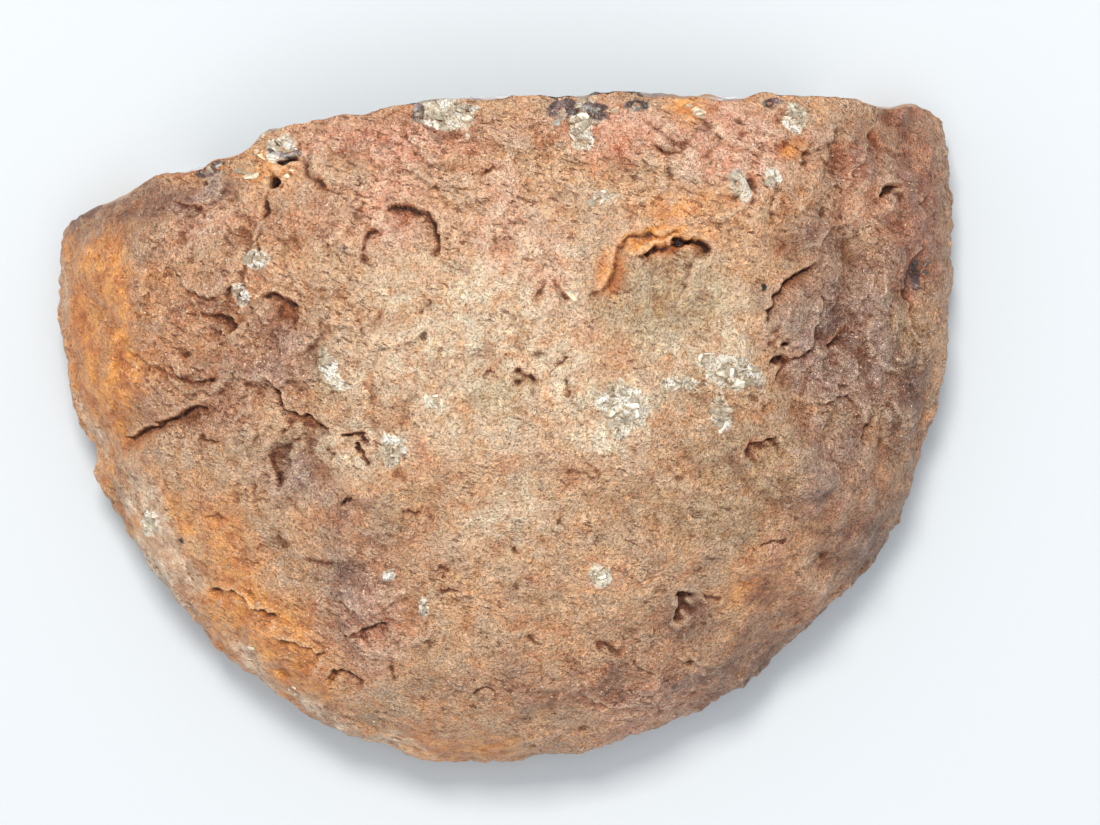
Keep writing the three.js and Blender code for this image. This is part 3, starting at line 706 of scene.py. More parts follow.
# Each zone's ellipses: (strength, x, y, half width, half depth, turn in degrees).
ZONES = {
    "amber": [
        (1.1, -55, -2, 6, 19), (0.5, -48, 0, 8, 13), (0.7, -52, 14, 8, 6, 15), (0.8, -8, -58, 14, 3.5, -4),
        (0.6, -38, -27, 8, 7), (0.9, -33, -43, 15, 8, -38), (0.55, -47, 3, 4, 8), (0.7, -46, -28, 8, 9, 30),
        (1.2, 21.5, 11, 6.5, 1.5, 5), (0.9, 14.5, 7, 2.2, 4), (0.55, 24, 15.5, 9, 2.6, 4),
        (0.9, 25.2, 28.5, 3, 3), (0.5, 31, -36, 5, 8), (0.9, 38.7, 23, 2, 1.5, 30), (0.4, -17, -19, 7, 3),
        (0.4, 58, -2, 2.5, 8), (0.7, -30, 20, 4, 3), (0.5, -48, -34, 5, 6, 30), (0.35, 8, -9, 7, 4, 20),
    ],
    "pink": [
        (1, 31, 24, 10, 6), (0.8, 20, 25, 16, 4), (0.8, -16, 24, 12, 4), (0.6, -15, 15, 14, 9),
        (0.5, -2, 14, 14, 9), (0.6, 20, -53, 15, 5, 10), (0.6, -19, -43, 8, 10), (0.5, -41, 13, 11, 5, 15),
        (0.5, 6, 5, 5, 9), (0.5, 50, 15, 8, 8), (0.3, -5, -30, 10, 8),
    ],
    "mauve": [
        (0.6, -30, -1, 6, 5), (0.55, -36, -7, 9, 6), (0.65, -29, -21, 7, 7), (0.5, -22, -38, 7, 10),
        (0.7, -43.5, 16, 9, 2.5, 20), (0.9, 47, -1, 9, 12), (0.3, 51, 19, 8, 8), (0.65, 44, -19, 8, 10),
        (0.5, 26, -40, 6, 4), (0.3, 10, -50, 14, 6),
    ],
    "grey": [
        (1, 20.5, 3, 9, 6.5), (0.4, 33, 3, 6, 5), (0.7, -1, -10, 4, 3.5), (0.7, -24.7, -6.8, 2.6, 5, 10),
        (0.5, 47.5, -12.8, 6, 3), (0.3, -8, -1, 4, 5), (0.4, 28, -12, 6, 5), (0.6, -24, -34, 6, 5),
        (0.5, 49.5, -17.5, 4, 4),
    ],
    "brown": [
        (0.85, -40, -2, 16, 14), (0.6, -20, -30, 12, 13), (0.7, 44, -24, 12, 16), (0.5, 46, 12, 14, 12),
        (0.7, 20, -50, 26, 8), (0.6, -34, 12, 14, 6, 20), (0.8, -15, 25, 16, 4), (0.9, 34, -17, 5, 5),
        (0.6, -26, -41, 12, 5, -20), (0.7, 40, -40, 12, 10, 40),
    ],
    # Dusk: darker stone towards the right and lower right, partly its own tone and partly painted shade
    # where the dome turns from the light; brown and mauve there carry some too.
    "dusk": [
        (0.65, 47, 8, 11, 6), (0.8, 57, 11, 4, 9), (0.4, 51, 22, 7, 6), (0.85, -51, 15, 9, 5, 15),
        (0.45, 48, -5, 7, 14), (0.7, 55, -8, 4, 14, -8), (0.8, 49, -31, 6, 7, 30),
        (0.6, 51, -24, 5, 14, -20), (0.7, 34, -46, 10, 5, 40), (0.8, 25, -41, 5, 4), (0.6, 41, 10, 5, 5),
    ],
    "russet": [
        (1, 56, 14, 4, 14), (0.7, 49, 23, 8, 6), (0.5, 41, 24, 5, 3), (0.8, 54, 28, 5, 2),
    ],
    # Dark patches of painted shade along the broken edge and the right edge, standing for gaps that look
    # down into the shadow under the stone.
    "slate": [
        (1.2, 13.2, 28.3, 1.5, 1.1), (1.2, 17.6, 29, 1.5, 0.7), (0.9, 7.6, 28.2, 2, 1.2),
        (0.9, -39.2, 21, 2, 1.1, 20), (1.2, 36.4, 29.4, 1.3, 0.6), (1.2, -29.2, 22.6, 2.2, 0.5, -5),
        (1.1, -11.4, 28, 0.8, 1.3), (0.9, 57, 6, 0.7, 2.4, 5),
    ],
    "drab": [
        (1, 34, -19, 9, 6), (0.8, 28, -26, 10, 5), (0.6, 17, -27, 6, 5), (0.6, -15, -25, 5, 5),
        (0.5, -32, -17, 7, 5), (0.5, 43, -16, 6, 6), (1, 55, -0.5, 2.6, 3.8, 10),
    ],
    "rough": [
        (1, -34, -2, 18, 20), (0.9, -8, 19, 24, 9), (0.9, 36, 20, 24, 9), (0.9, 49, 0, 9, 20),
        (0.75, -24, -40, 16, 10), (0.6, 14, -48, 24, 7),
    ],
    "pale": [
        (0.75, -2, -1, 22, 19), (0.8, 13, -12, 11, 7), (0.6, -23, -4, 5, 6), (0.9, -19, -17, 8, 4),
        (1, -48, -33, 5, 5, 30), (0.6, -12, -58, 14, 3), (0.85, 26, -2, 9, 9), (0.6, -15, 5, 6, 6),
        (0.5, 56, 0, 2.6, 4), (0.6, 1, -26, 15, 8), (0.9, 28, 24, 10, 5),
    ],
    "vein": [
        (1, -48.8, -24, 2.6, 3.6, 35), (1, -45.6, -29.5, 2, 4.6, 25), (1, -46, -34, 5, 6, 30),
        (0.7, -16, -57.5, 8, 1.5, -8), (0.6, -55.5, -17, 2.5, 4, 20), (0.9, -43, -35, 1.5, 3.6, 12),
        (0.7, -23.5, -6, 1, 3.8, 25), (0.8, -33.6, 8.2, 2.2, 1.5), (0.6, -59.7, 2, 0.5, 10, 2),
        (0.7, -56.6, -13.5, 0.6, 5, 22), (0.8, 13.5, 16.5, 2.6, 0.9, 10), (0.6, 25, -9, 5, 1.2, 10),
        (0.7, -34, -46, 6, 1.2, -40), (0.8, -24, -53, 6, 1.2, -33),
    ],
}

# Each patch of chips is (x, y, half width, half depth, turn in degrees, shards, tint):
# the tint runs from -1, painted shade standing for a gap into the shadow beneath, through 0,
# grey and white, to 1, amber.
CHIPS = [
    (16.3, -11.5, 3, 2.8, 0, 9, 0.05), (31.6, -7.2, 4.2, 1.8, -20, 9, 0.1),
    (29.6, -12.4, 1.3, 2.4, 0, 4, 0.1), (24.6, -8.6, 2.4, 0.9, 0, 3, 0.2),
    (27.6, -5.4, 1.3, 1.1, 0, 3, 0.15), (14.2, -13.6, 2.2, 1.2, -30, 3, 0.6),
    (-7.2, 27.3, 3.8, 1.7, 0, 8, 0), (-11.1, 27.7, 0.6, 1.4, 0, 3, -0.7), (10.5, 26, 1.6, 3, 0, 6, 0.05),
    (10.6, 28.6, 0.9, 1.2, 15, 3, 0), (13, 28.3, 1.4, 1, 0, 5, -0.9), (17.6, 28.8, 1.3, 0.7, 0, 4, -0.8),
    (14.9, 27.3, 1.5, 1.7, 0, 2, 0.75), (7.4, 27.8, 1.7, 1.5, 0, 5, -0.6), (31.6, 18.2, 1.1, 2.1, 20, 4, 0),
    (36.3, 18.9, 1, 1.4, 0, 3, 0), (39, 27.2, 1.3, 1.6, 0, 4, 0.05), (36.4, 29.2, 1, 0.6, 0, 3, -0.8),
    (-35.5, 3.5, 0.8, 1.3, 0, 3, 0), (-35, 20, 1.9, 1.5, 0, 3, 0.35), (-32.7, 21.8, 1.4, 1.1, 0, 2, 0.9),
    (-30.2, 23.2, 2, 1.4, 0, 3, 0.1), (-38.9, 20.6, 1.7, 1.2, 0, 4, -0.6), (25.8, 28.6, 2, 1.6, 0, 3, 0.7),
    (12.8, 16.5, 1.8, 0.7, 15, 3, 0.1), (-9.6, -10.9, 1.4, 0.8, 0, 3, 0), (13.1, -34.7, 1.2, 1.1, 0, 3, 0),
    (-15, -17.5, 1.5, 1.6, 0, 3, 0.2), (-23.4, -6.5, 0.8, 2.6, 25, 3, 0.2),
    (-33.6, 8.2, 1.8, 1.1, 0, 3, 0.2), (-28, -49.6, 2.5, 1, -38, 5, 0.4),
    (-22.8, -52.8, 2.5, 1, -33, 5, 0.45), (-17.9, -54.6, 0.9, 0.9, 0, 4, 0.7),
    (-34.6, -44.4, 2, 0.9, -42, 4, 0.5), (-39.4, -39.6, 1.6, 0.8, -48, 3, 0.6),
    (-15.1, -33.9, 0.8, 0.6, 0, 2, 0), (-10.7, -38.5, 0.5, 1.1, 0, 2, 0), (-29.2, 20, 1.4, 0.9, 40, 4, 0.8),
    (55, 17.6, 1.6, 1.2, 20, 5, 0.9), (10.2, 4.2, 1.5, 1.5, 0, 1, 1), (-47.5, -27, 1, 1.2, 0, 3, 0.1),
    (57.4, -1, 1, 1.6, 0, 4, 0.6), (57, 6.8, 0.4, 1.6, 0, 4, -0.9), (26.4, -20.8, 0.35, 0.9, 0, 3, -1),
]
ZONES["quartz"] = [(1.1, *patch[:5]) for patch in CHIPS if 0 <= patch[-1] < 0.3]

# How ragged the zones' edges are: (size, amount).
ZONE_RAGS = (7, 0.26)
FINE_ZONE_RAGS = {"quartz": (2.2, 0.5), "slate": (2.2, 0.5), "vein": (3, 0.4)}

# Dark teal spots of painted shade, standing for cracks that look into the shadow beneath:
# (x, y, radius).
DARK_SPOTS = [(-45.3, -25.6, 0.35), (-43.5, -29.7, 0.4), (35.4, 4.4, 0.4)]

# Rounds of smoothing that a surface is measured against, for small and wide hollows.
CREVICE_ROUNDS = 4
BASIN_ROUNDS = 60


def zone_weight(zone, x, y, z):
    """How strongly each point belongs to a colour zone, with ragged edges."""
    weight = np.zeros_like(x)
    for strength, *ellipse in ZONES[zone]:
        across, away = within(x, y, *ellipse)
        weight = np.maximum(weight, strength * np.exp(-0.7 * (across**2 + away**2)))
    size, amount = FINE_ZONE_RAGS.get(zone, ZONE_RAGS)
    ragged = amount * cloud(x + 7 * len(zone), y, z, size)
    return smooth_step(0.22, 0.8, weight + ragged * (weight > 0.05))


def paint(mesh, smooth):
    """Stores what the rind's material reads at each vertex. `smooth` is where each
    vertex stood before it was roughened."""
    z = smooth[:, 2]
    x, y = seen(*smooth.T)
    rags = ragged_place(x, y)
    _, from_edge, ledge = ledge_field(*rags)
    spacing, _, share = PLATES[TONED_LAYER]
    spots = [1.6 - np.hypot(x - spot_x, y - spot_y) / radius for spot_x, spot_y, radius in DARK_SPOTS]
    places = nodule_place(mesh)
    values = {zone: zone_weight(zone, x, y, z) for zone in ZONES}
    values |= {
        "from_edge": from_edge,
        "ledge": ledge,
        "plate": plate_layer(*unrolled(*rags, z), spacing, share)[1],
        "flake": flakes(*rags, z)[1],
        "spot": np.maximum(np.max(spots, axis=0), 0),
        "hole": holes(*rags),
        "crevice": sunken(mesh, places, CREVICE_ROUNDS),
        "basin": sunken(mesh, places, BASIN_ROUNDS),
        "skin": np.ones_like(x),
    }
    for name, given in values.items():
        store(mesh, name, given)


def paint_section(mesh):
    """Gives the cut faces their zones too, amber towards both thin ends."""
    bare = stored(mesh, "skin") < 0.5
    x, y, z = nodule_place(mesh)[bare].T
    ends = np.maximum(smooth_step(-18, -36, x), smooth_step(44, 54, x))
    for zone in ZONES:
        values = stored(mesh, zone)
        values[bare] = zone_weight(zone, x, y, z)
        if zone == "amber":
            values[bare] = np.maximum(values[bare], ends)
        store(mesh, zone, values)


# ---- Materials ----


def linear(code):
    """A hex colour as linear red, green, blue and alpha."""
    values = [int(code[n : n + 2], 16) / 255 for n in (0, 2, 4)]
    return [*(v / 12.92 if v <= 0.04045 else ((v + 0.055) / 1.055) ** 2.4 for v in values), 1]


class Shader:
    """A material, its colour and relief so far, and short ways to add nodes."""

    def __init__(self, name):
        self.material = bpy.data.materials.new(name)
        self.material.use_nodes = True
        self.tree = self.material.node_tree
        self.tree.nodes.clear()
        self.surface = self.node("BsdfPrincipled", {})
        self.node("OutputMaterial", {"Surface": self.surface.outputs["BSDF"]})
        self.place = self.node("TexCoord", {}).outputs["Object"]
        self.colour = self.normal = None

    def set(self, socket, value):
        """Links an output to a socket, or gives the socket a colour or a plain value."""
        if isinstance(value, bpy.types.NodeSocket):
            self.tree.links.new(value, socket)
        else:
            socket.default_value = linear(value) if isinstance(value, str) else value

    def node(self, kind, inputs, **settings):
        """A new node, with its settings and its inputs by name or number."""
        made = self.tree.nodes.new("ShaderNode" + kind)
        for setting, value in settings.items():
            setattr(made, setting, value)
        for socket, value in inputs.items():
            self.set(made.inputs[socket], value)
        return made

    def attribute(self, name):
        return self.node("Attribute", {}, attribute_name=name).outputs["Fac"]

    def stretched(self, scale):
        """The place, for a texture stretched by `scale` along the rind's scales."""
        inputs = {"Vector": self.place, "Rotation": (0, 0, SCALE_TURN), "Scale": scale}
        return self.node("Mapping", inputs, vector_type="TEXTURE").outputs["Vector"]

    def noise(self, size, detail=3, roughness=0.6, distortion=0.0, place=None):
        """Noise of that size in millimetres, from 0 to 1 around a half."""
        inputs = {"Vector": place or self.place, "Scale": 1 / (size * MM), "Detail": detail}
        inputs |= {"Roughness": roughness, "Distortion": distortion}
        return self.node("TexNoise", inputs).outputs["Fac"]

    def cells(self, size):
        """A number from 0 to 1 for each cell of a mosaic, and how near its border is."""
        inputs = {"Vector": self.place, "Scale": 1 / (size * MM)}
        tone = self.node("TexVoronoi", inputs).outputs["Color"]
        border = self.node("TexVoronoi", inputs, feature="DISTANCE_TO_EDGE").outputs["Distance"]
        return self.node("SeparateColor", {0: tone}).outputs[0], border

    def math(self, operation, value, *others):
        """A value joined by an operation with each of the others in turn."""
        for other in others or (0.0,):
            value = self.node("Math", {0: value, 1: other}, operation=operation).outputs[0]
        return value

    def times(self, *factors):
        return self.math("MULTIPLY", *factors)

    def plus(self, *terms):
        return self.math("ADD", *terms)

    def spread(self, value, low, high, to_low=0.0, to_high=1.0):
        """Maps low to high on to to_low to to_high, and holds it there."""
        inputs = dict(enumerate((value, low, high, to_low, to_high)))
        return self.node("MapRange", inputs).outputs[0]

    def uneven(self, value):
        """Noise as something to add to a value."""
        return self.spread(value, 0.3, 0.7, -0.3, 0.3)

    def mix(self, share, a, b, blend="MIX"):
        inputs = {0: share, 6: a, 7: b}
        return self.node("Mix", inputs, data_type="RGBA", blend_type=blend).outputs[2]

    def lay(self, share, colour, blend="MIX"):
        """Lays a share of a colour over the colour so far."""
        self.colour = self.mix(share, self.colour, colour, blend)

    def wash(self, value, low, high, most, colour, blend="MIX", where=None):
        """Lays a colour on: none of it where `value` is `low`, and `most` of it at `high`."""
        share = self.spread(value, low, high, 0, most)
        self.lay(self.times(share, where) if where else share, colour, blend)

    def ramp(self, value, stops):
        """Colours along a value, from (place, colour) pairs."""
        made = self.node("ValToRGB", {"Fac": value})
        elements = made.color_ramp.elements
        while len(elements) < len(stops):
            elements.new(1)
        for element, (place, colour) in zip(elements, stops):
            element.position = place
            element.color = linear(colour)
        return made.outputs["Color"]

    def bump(self, height, distance, strength=1.0):
        """Adds relief, where a height of 1 stands `distance` millimetres high."""
        linked = isinstance(distance, bpy.types.NodeSocket)
        distance = self.times(distance, MM) if linked else distance * MM
        inputs = {"Height": height, "Distance": distance, "Strength": strength}
        if self.normal:
            inputs["Normal"] = self.normal
        self.normal = self.node("Bump", inputs).outputs["Normal"]

    def give(self, name, value):
        """Sets or links one of the surface's own inputs."""
        self.set(self.surface.inputs[name], value)

    def finished(self, roughness):
        """The material, once the surface has its colour, relief and roughness."""
        self.give("Base Color", self.colour)
        self.give("Roughness", roughness)
        if self.normal:
            self.give("Normal", self.normal)
        return self.material


# Colours of the zones, laid in this order: (zone, dark, light, most that it covers).
ZONE_COLOURS = [
    ("pale", "dab693", "e7dbc0", 0.85),
    ("brown", "aa744d", "c98f65", 0.8),
    ("pink", "cd886a", "e9ba9e", 0.9),
    ("grey", "ae9778", "c4ae8a", 0.9),
    ("mauve", "81635b", "a68a82", 0.9),
    ("amber", "c07228", "ea9f44", 0.95),
    # Partly painted shade, towards the right and lower right.
    ("dusk", "724936", "9a7051", 0.9),
    ("russet", "82452b", "b26f4e", 0.85),
    ("drab", "a0805b", "bf9d78", 0.9),
    ("vein", "c29c7b", "f3dec2", 0.9),
]
# Colours along a value: (place, colour).
STONE_TANS = [(0.32, "bd9a78"), (0.45, "c8a17d"), (0.55, "d1a276"), (0.68, "d4a27f")]
FLAKE_TONES = [(0.1, "a89a82"), (0.4, "ccbfa6"), (0.7, "e6dcc6"), (0.95, "fff9ee")]
PAINTED_SHADE_TONES = [(0.2, "1c1a22"), (0.55, "3a2c34"), (0.9, "7a6468")]
CHIP_TONES = [(0.05, "958a77"), (0.35, "b8ad98"), (0.65, "d6cdb8"), (0.95, "faf6ec")]
WARM_TONES = [(0.05, "8a5a2e"), (0.5, "c79258"), (0.95, "ecd6ae")]
SECTION_BANDS = [
    (0, "94694c"), (0.22, "7d5a48"), (0.3, "8c7670"), (0.4, "b9aca8"), (0.5, "8d8086"),
    (0.6, "c9c0c0"), (0.72, "9a8d96"), (0.86, "d6cfd2"), (1, "a99db0"),
]
CRYSTAL_TONES = [(0, "cfc6c4"), (0.25, "e4dee0"), (0.5, "efeaf2"), (1, "dccff0")]
SCALE_TURN = math.radians(-20)


def lay_zones(s, mottle):
    """Tan stone, with zones of amber, pink, mauve, grey and pale stone. Towards the right and
    lower right the darker zones are partly painted shade.
    """
    s.colour = s.ramp(s.noise(7, 4, 0.65, 0.6), STONE_TANS)
    for zone, dark, light, most in ZONE_COLOURS:
        tint = s.mix(s.spread(mottle, 0.38, 0.62), dark, light)
        s.lay(s.times(s.attribute(zone), most), tint)


def lay_stains(s):
    """Patches of rosier, greyer, darker and lighter stone, and the tones of the plates."""
    shift = s.noise(3.4, 4, 0.65, 0.6)
    s.wash(shift, 0.51, 0.64, 0.5, "eac4a4", "MULTIPLY")
    s.wash(shift, 0.49, 0.36, 0.35, "ae987e")
    stain = s.noise(1.5, 3, 0.6, 0.5)
    s.wash(stain, 0.53, 0.66, 0.6, "e0bd8c", "MULTIPLY")
    s.wash(stain, 0.47, 0.36, 0.5, "3a3e46", "SCREEN")
    darker = s.math("MAXIMUM", *(s.attribute(zone) for zone in ("brown", "dusk", "mauve")))
    patch = s.noise(6, 3, 0.55, 0.5)
    s.wash(patch, 0.5, 0.34, 0.75, "9c7c6c", "MULTIPLY", darker)
    s.wash(patch, 0.52, 0.68, 0.5, "5a4438", "SCREEN", darker)
    plate = s.attribute("plate")
    s.wash(plate, 0.5, 0.1, 0.35, "b8957e", "MULTIPLY")
    s.wash(plate, 0.5, 0.9, 0.35, "50463c", "SCREEN")


def lay_quartz(s, mottle):
    """Bare quartz, and dark painted shade of gaps into the shadow beneath, flake by flake.
    Gives back where the quartz is.
    """
    quartz = s.spread(s.plus(s.attribute("quartz"), s.uneven(mottle)), 0.3, 0.5)
    tone = s.plus(s.attribute("flake"), s.uneven(mottle))
    s.lay(s.times(quartz, 0.85), s.ramp(tone, FLAKE_TONES))
    # Painted shade of gaps, dark and faceted flake by flake.
    s.wash(s.attribute("slate"), 0.3, 0.6, 0.9, s.ramp(tone, PAINTED_SHADE_TONES))
    return quartz


def lay_grain_highlights_and_shade(s, grain, speck, grainy, rough):
    """A skin of curled grains, painted as if lit: painted highlights on their ridges, painted
    shade in the hollows between them, painted highlight specks and glints. Gives back the ridges."""
    curl = s.math("ABSOLUTE", s.math("SUBTRACT", s.noise(0.95, 1, 0.5, 0.8), 0.5))
    ridge = s.spread(curl, 0.08, 0.0)
    # Painted highlight along the grains' curled ridges.
    s.lay(s.times(ridge, grainy), "9a948c", "DODGE")
    # Painted shade in the hollows between the grains.
    s.wash(grain, 0.48, 0.34, 0.8, "b2a698", "MULTIPLY", grainy)
    # Painted highlight on scattered specks.
    s.wash(speck, 0.54, 0.68, 1, "706e6c", "SCREEN", grainy)
    # Painted glints, mostly where the stone is rough.
    s.wash(s.noise(0.34, 1, 0.5), 0.67, 0.73, 1, "fbe2c8", where=s.spread(rough, 0, 1, 0.3, 0.9))
    return ridge


def lay_rust_and_shadow_dashes(s, amber, rough):
    """Short rusty dashes where the thinnest scales end, dark also as painted shadow under
    their small steps. Gives back where they are.
    """
    streak = s.noise(0.75, 2, 0.55, 0.7, s.stretched((1.9, 0.65, 1)))
    more = s.spread(rough, 0, 1, -0.03, 0.07), s.spread(amber, 0, 1, 0, 0.07)
    fewer = s.spread(s.attribute("pale"), 0, 1, 0, -0.05)
    crowd = s.spread(s.plus(s.noise(4, 3), *more, fewer), 0.42, 0.58)
    dash = s.times(s.spread(streak, 0.57, 0.64), crowd)
    s.wash(streak, 0.46, 0.36, 0.6, "5a4636", "SCREEN", crowd)
    # Rust and painted shadow along the dashes.
    s.lay(s.times(dash, 0.8), s.mix(amber, "6e3814", "9c5820"))
    return dash


def lay_ledge_rust_and_shade(s, mottle, grain, amber):
    """Rust about a ledge's edge; at its foot a dark rusty band, partly rust and partly painted
    shade, with a painted shadow line in it that has gaps.
    """
    from_edge = s.plus(s.attribute("from_edge"), s.uneven(grain))
    ledge = s.attribute("ledge")
    edge = s.times(s.spread(from_edge, 0.9, 0.3), s.spread(from_edge, -0.7, -0.4))
    patchy = s.math("MAXIMUM", s.spread(mottle, 0.38, 0.55, 0.3, 0.9), amber)
    s.lay(s.times(ledge, patchy, edge), s.mix(amber, "b2622a", "eca04c"))
    from_foot = s.math("ABSOLUTE", s.plus(from_edge, RISER))
    foot = s.times(s.spread(from_foot, 0.34, 0.16), s.spread(ledge, 0.05, 0.5, 0, 0.8))
    # Dark rusty band at the foot: partly rust, partly painted shade.
    s.lay(foot, s.mix(amber, "7a3c12", "a8622a"))
    gaps = s.spread(mottle, 0.54, 0.44, 0, 0.9), s.spread(amber, 0.2, 0.8, 1.0, 0.2)
    # Near-black painted shadow line along the foot, with gaps, fewer on amber.
    s.lay(s.times(s.spread(from_foot, 0.2, 0.06), foot, *gaps), "28100a")


def lay_hollow_shade_and_highlights(s, quartz):
    """Painted shade in wide hollows, holes and spots; crevices darkened, partly as rust and
    partly as painted shade; painted highlights on edges and rises.
    """
    basin = s.attribute("basin")
    # Painted shade, warm, in wide hollows.
    s.wash(basin, 0.03, 0.5, 0.85, "c4986c", "MULTIPLY")
    # Painted highlight on broad rises.
    s.wash(basin, -0.03, -0.4, 0.5, "44484e", "SCREEN")
    crevice = s.attribute("crevice")
    # Crevices rust-brown: partly rust, partly painted shade.
    s.wash(crevice, 0.04, 0.17, 0.7, "663618")
    # Painted shade, nearly black, in the deepest crevices.
    s.wash(crevice, 0.14, 0.3, 0.85, "28110a")
    # Painted highlight on sharp edges, whiter on quartz.
    s.wash(crevice, -0.03, -0.14, 0.3, s.mix(quartz, "fbd8b2", "fdfbf4"))
    # Painted shade in the holes and clefts.
    s.wash(s.attribute("hole"), 0.5, 1.6, 0.9, "2a130a")
    # Painted shade in the dark teal spots.
    s.wash(s.attribute("spot"), 0.4, 0.7, 1, "1f2b26")


def rind_material():
    """Weathered stone, rough and scaly, but smoother where it is amber or quartz."""
    s = Shader("rind_stone")
    mottle, grain, speck = s.noise(2.2, 4, 0.65), s.noise(0.42, 2, 0.65), s.noise(0.2, 2, 0.7)
    amber, rough = s.attribute("amber"), s.attribute("rough")
    grainy = s.spread(amber, 0, 1, 1.0, 0.45)
    lay_zones(s, mottle)
    lay_stains(s)
    quartz = lay_quartz(s, mottle)
    ridge = lay_grain_highlights_and_shade(s, grain, speck, grainy, rough)
    dash = lay_rust_and_shadow_dashes(s, amber, rough)
    lay_ledge_rust_and_shade(s, mottle, grain, amber)
    lay_hollow_shade_and_highlights(s, quartz)
    hackle = s.math("SNAP", s.noise(1.3, 3, 0.55, 0.4, s.stretched((1.5, 0.8, 1))), 0.08)
    s.bump(hackle, s.spread(rough, 0, 1, 1.0, 2.8), 0.9)
    s.bump(s.math("SUBTRACT", 1.0, dash), 0.12)
    s.bump(s.plus(grain, s.times(ridge, 0.3)), s.times(grainy, 0.7))
    s.bump(speck, 0.15)
    s.give("Specular IOR Level", 0.5)
    smoother = s.math("MAXIMUM", s.times(amber, 0.6), quartz)
    return s.finished(s.spread(smoother, 0, 1, 0.46, 0.3))


def chip_material():
    """Sharp flakes of bare chalcedony and quartz: grey, white and, where tinted, amber. Below
    0 the tint turns them to dark painted shade, standing for gaps.
    """
    s = Shader("chip")
    tint = s.attribute("tint")
    shade = s.plus(s.attribute("tone"), s.uneven(s.noise(0.8, 2, 0.6, 1.0)))
    s.colour = s.ramp(shade, CHIP_TONES)
    s.lay(tint, s.ramp(shade, WARM_TONES))
    # Painted shade where the tint is below 0.
    s.wash(tint, 0, -1, 1, "2c3137")
    s.bump(s.noise(0.5, 3, 0.6), 0.3, 0.8)
    return s.finished(s.spread(s.noise(1.2, 2), 0.3, 0.7, 0.35, 0.6))


def section_material():
    """The stone seen in section: a brown skin, then bands of chalcedony."""
    s = Shader("banded_section")
    depth = s.plus(s.attribute("depth"), s.times(s.noise(5, 3), 2.4))
    s.colour = s.ramp(s.spread(depth, 0.5, 10), SECTION_BANDS)
    s.wash(s.math("SINE", s.times(depth, 9.0)), -1, 1, 0.18, "f4f0ec")
    s.wash(s.noise(4.5, 4), 0.5, 0.62, 0.7, "4b4450")
    s.wash(s.noise(5.5, 4), 0.53, 0.6, 0.8, "e6e0dc")
    s.wash(s.noise(2.2, 4), 0.5, 0.7, 0.5, "a87c54")
    s.lay(s.times(s.attribute("amber"), 0.85), "a8753f")
    s.bump(s.noise(0.6, 3), 0.15, 0.6)
    return s.finished(s.spread(s.noise(1.2, 3), 0.3, 0.7, 0.28, 0.6))


def crystal_material():
    """Quartz: milky where it is rooted, clear and faintly lilac at its points."""
    s = Shader("quartz")
    depth = s.attribute("depth")
    s.colour = s.ramp(s.spread(depth, 6.8, 17), CRYSTAL_TONES)
    tone, border = s.cells(2.6)
    s.wash(tone, 0.35, 0.0, 0.4, "a79db0")
    s.wash(tone, 0.7, 1.0, 0.5, "fbf8f6")
    s.wash(border, 0.05, 0.0, 0.25, "9a90a2")
    bands = s.math("SINE", s.times(s.plus(depth, s.noise(3, 3)), 2.6))
    s.wash(bands, 0.3, 1, 0.3, "b3a8b8")
    s.wash(s.noise(7, 3), 0.5, 0.7, 0.35, "d9b78c")
    s.bump(s.noise(1.0, 3), 0.03, 0.4)
    s.give("Transmission Weight", s.spread(depth, 10.0, 13, 0.0, 0.9))
    s.give("IOR", 1.55)
    return s.finished(s.spread(s.noise(1.5, 2), 0.3, 0.7, 0.04, 0.16))


def floor_material():
    """A pale sheet, only just uneven in tone."""
    s = Shader("pale_floor")
    s.colour = s.mix(s.noise(400, 2), "bdc3c7", "c0c5c9")
    s.give("Specular IOR Level", 0.2)
    return s.finished(0.6)


# ---- The rind ----

STONE, SECTION, CHIP = range(3)
SAWN_Z = 0.05
ON_BREAK = 0.25
SKIN_DEPTH = 1.3
RIND_SHARP_ANGLE = 55

# Each patch of chips draws its numbers from its own run of seeds.
SHARD_SEEDS = 40
SHARD_POINTS = 9
SHARD_TURN = 2.4
SHARD_SHAPE = (1, 0.7, 0.35)


def turned_up(direction):
    """The turn that takes +Z to a direction."""
    return Vector((0, 0, 1)).rotation_difference(Vector(direction).normalized()).to_matrix()


def add_shard(family, centre, facing, size, seed, tint):
    """A sharp-edged flake: the hull of a few scattered points, flattened along `facing`."""
    hull = bmesh.new()
    spin = turned_up(Vector(facing) + Vector([1.1 * (draw(seed, n, 2) - 0.5) for n in range(3)]))
    for n in range(SHARD_POINTS):
        spot = Vector([draw(seed, n, axis) - 0.5 for axis in (4, 5, 6)]).normalized()
        spot = Vector([place * size * share for place, share in zip(spot, SHARD_SHAPE)])
        hull.verts.new(Vector(centre) + spin @ spot)
    bmesh.ops.convex_hull(hull, input=hull.verts)
    hull.verts.index_update()
    places = [tuple(vert.co) for vert in hull.verts]
    faces = [[vert.index for vert in face.verts] for face in hull.faces]
    hull.free()
    mesh = new_object(f"shard_{seed}", places, faces, family).data
    store(mesh, "tint", np.full(len(places), tint))
    store(mesh, "tone", np.full(len(places), draw(seed, 7, 7) ** 1.6))


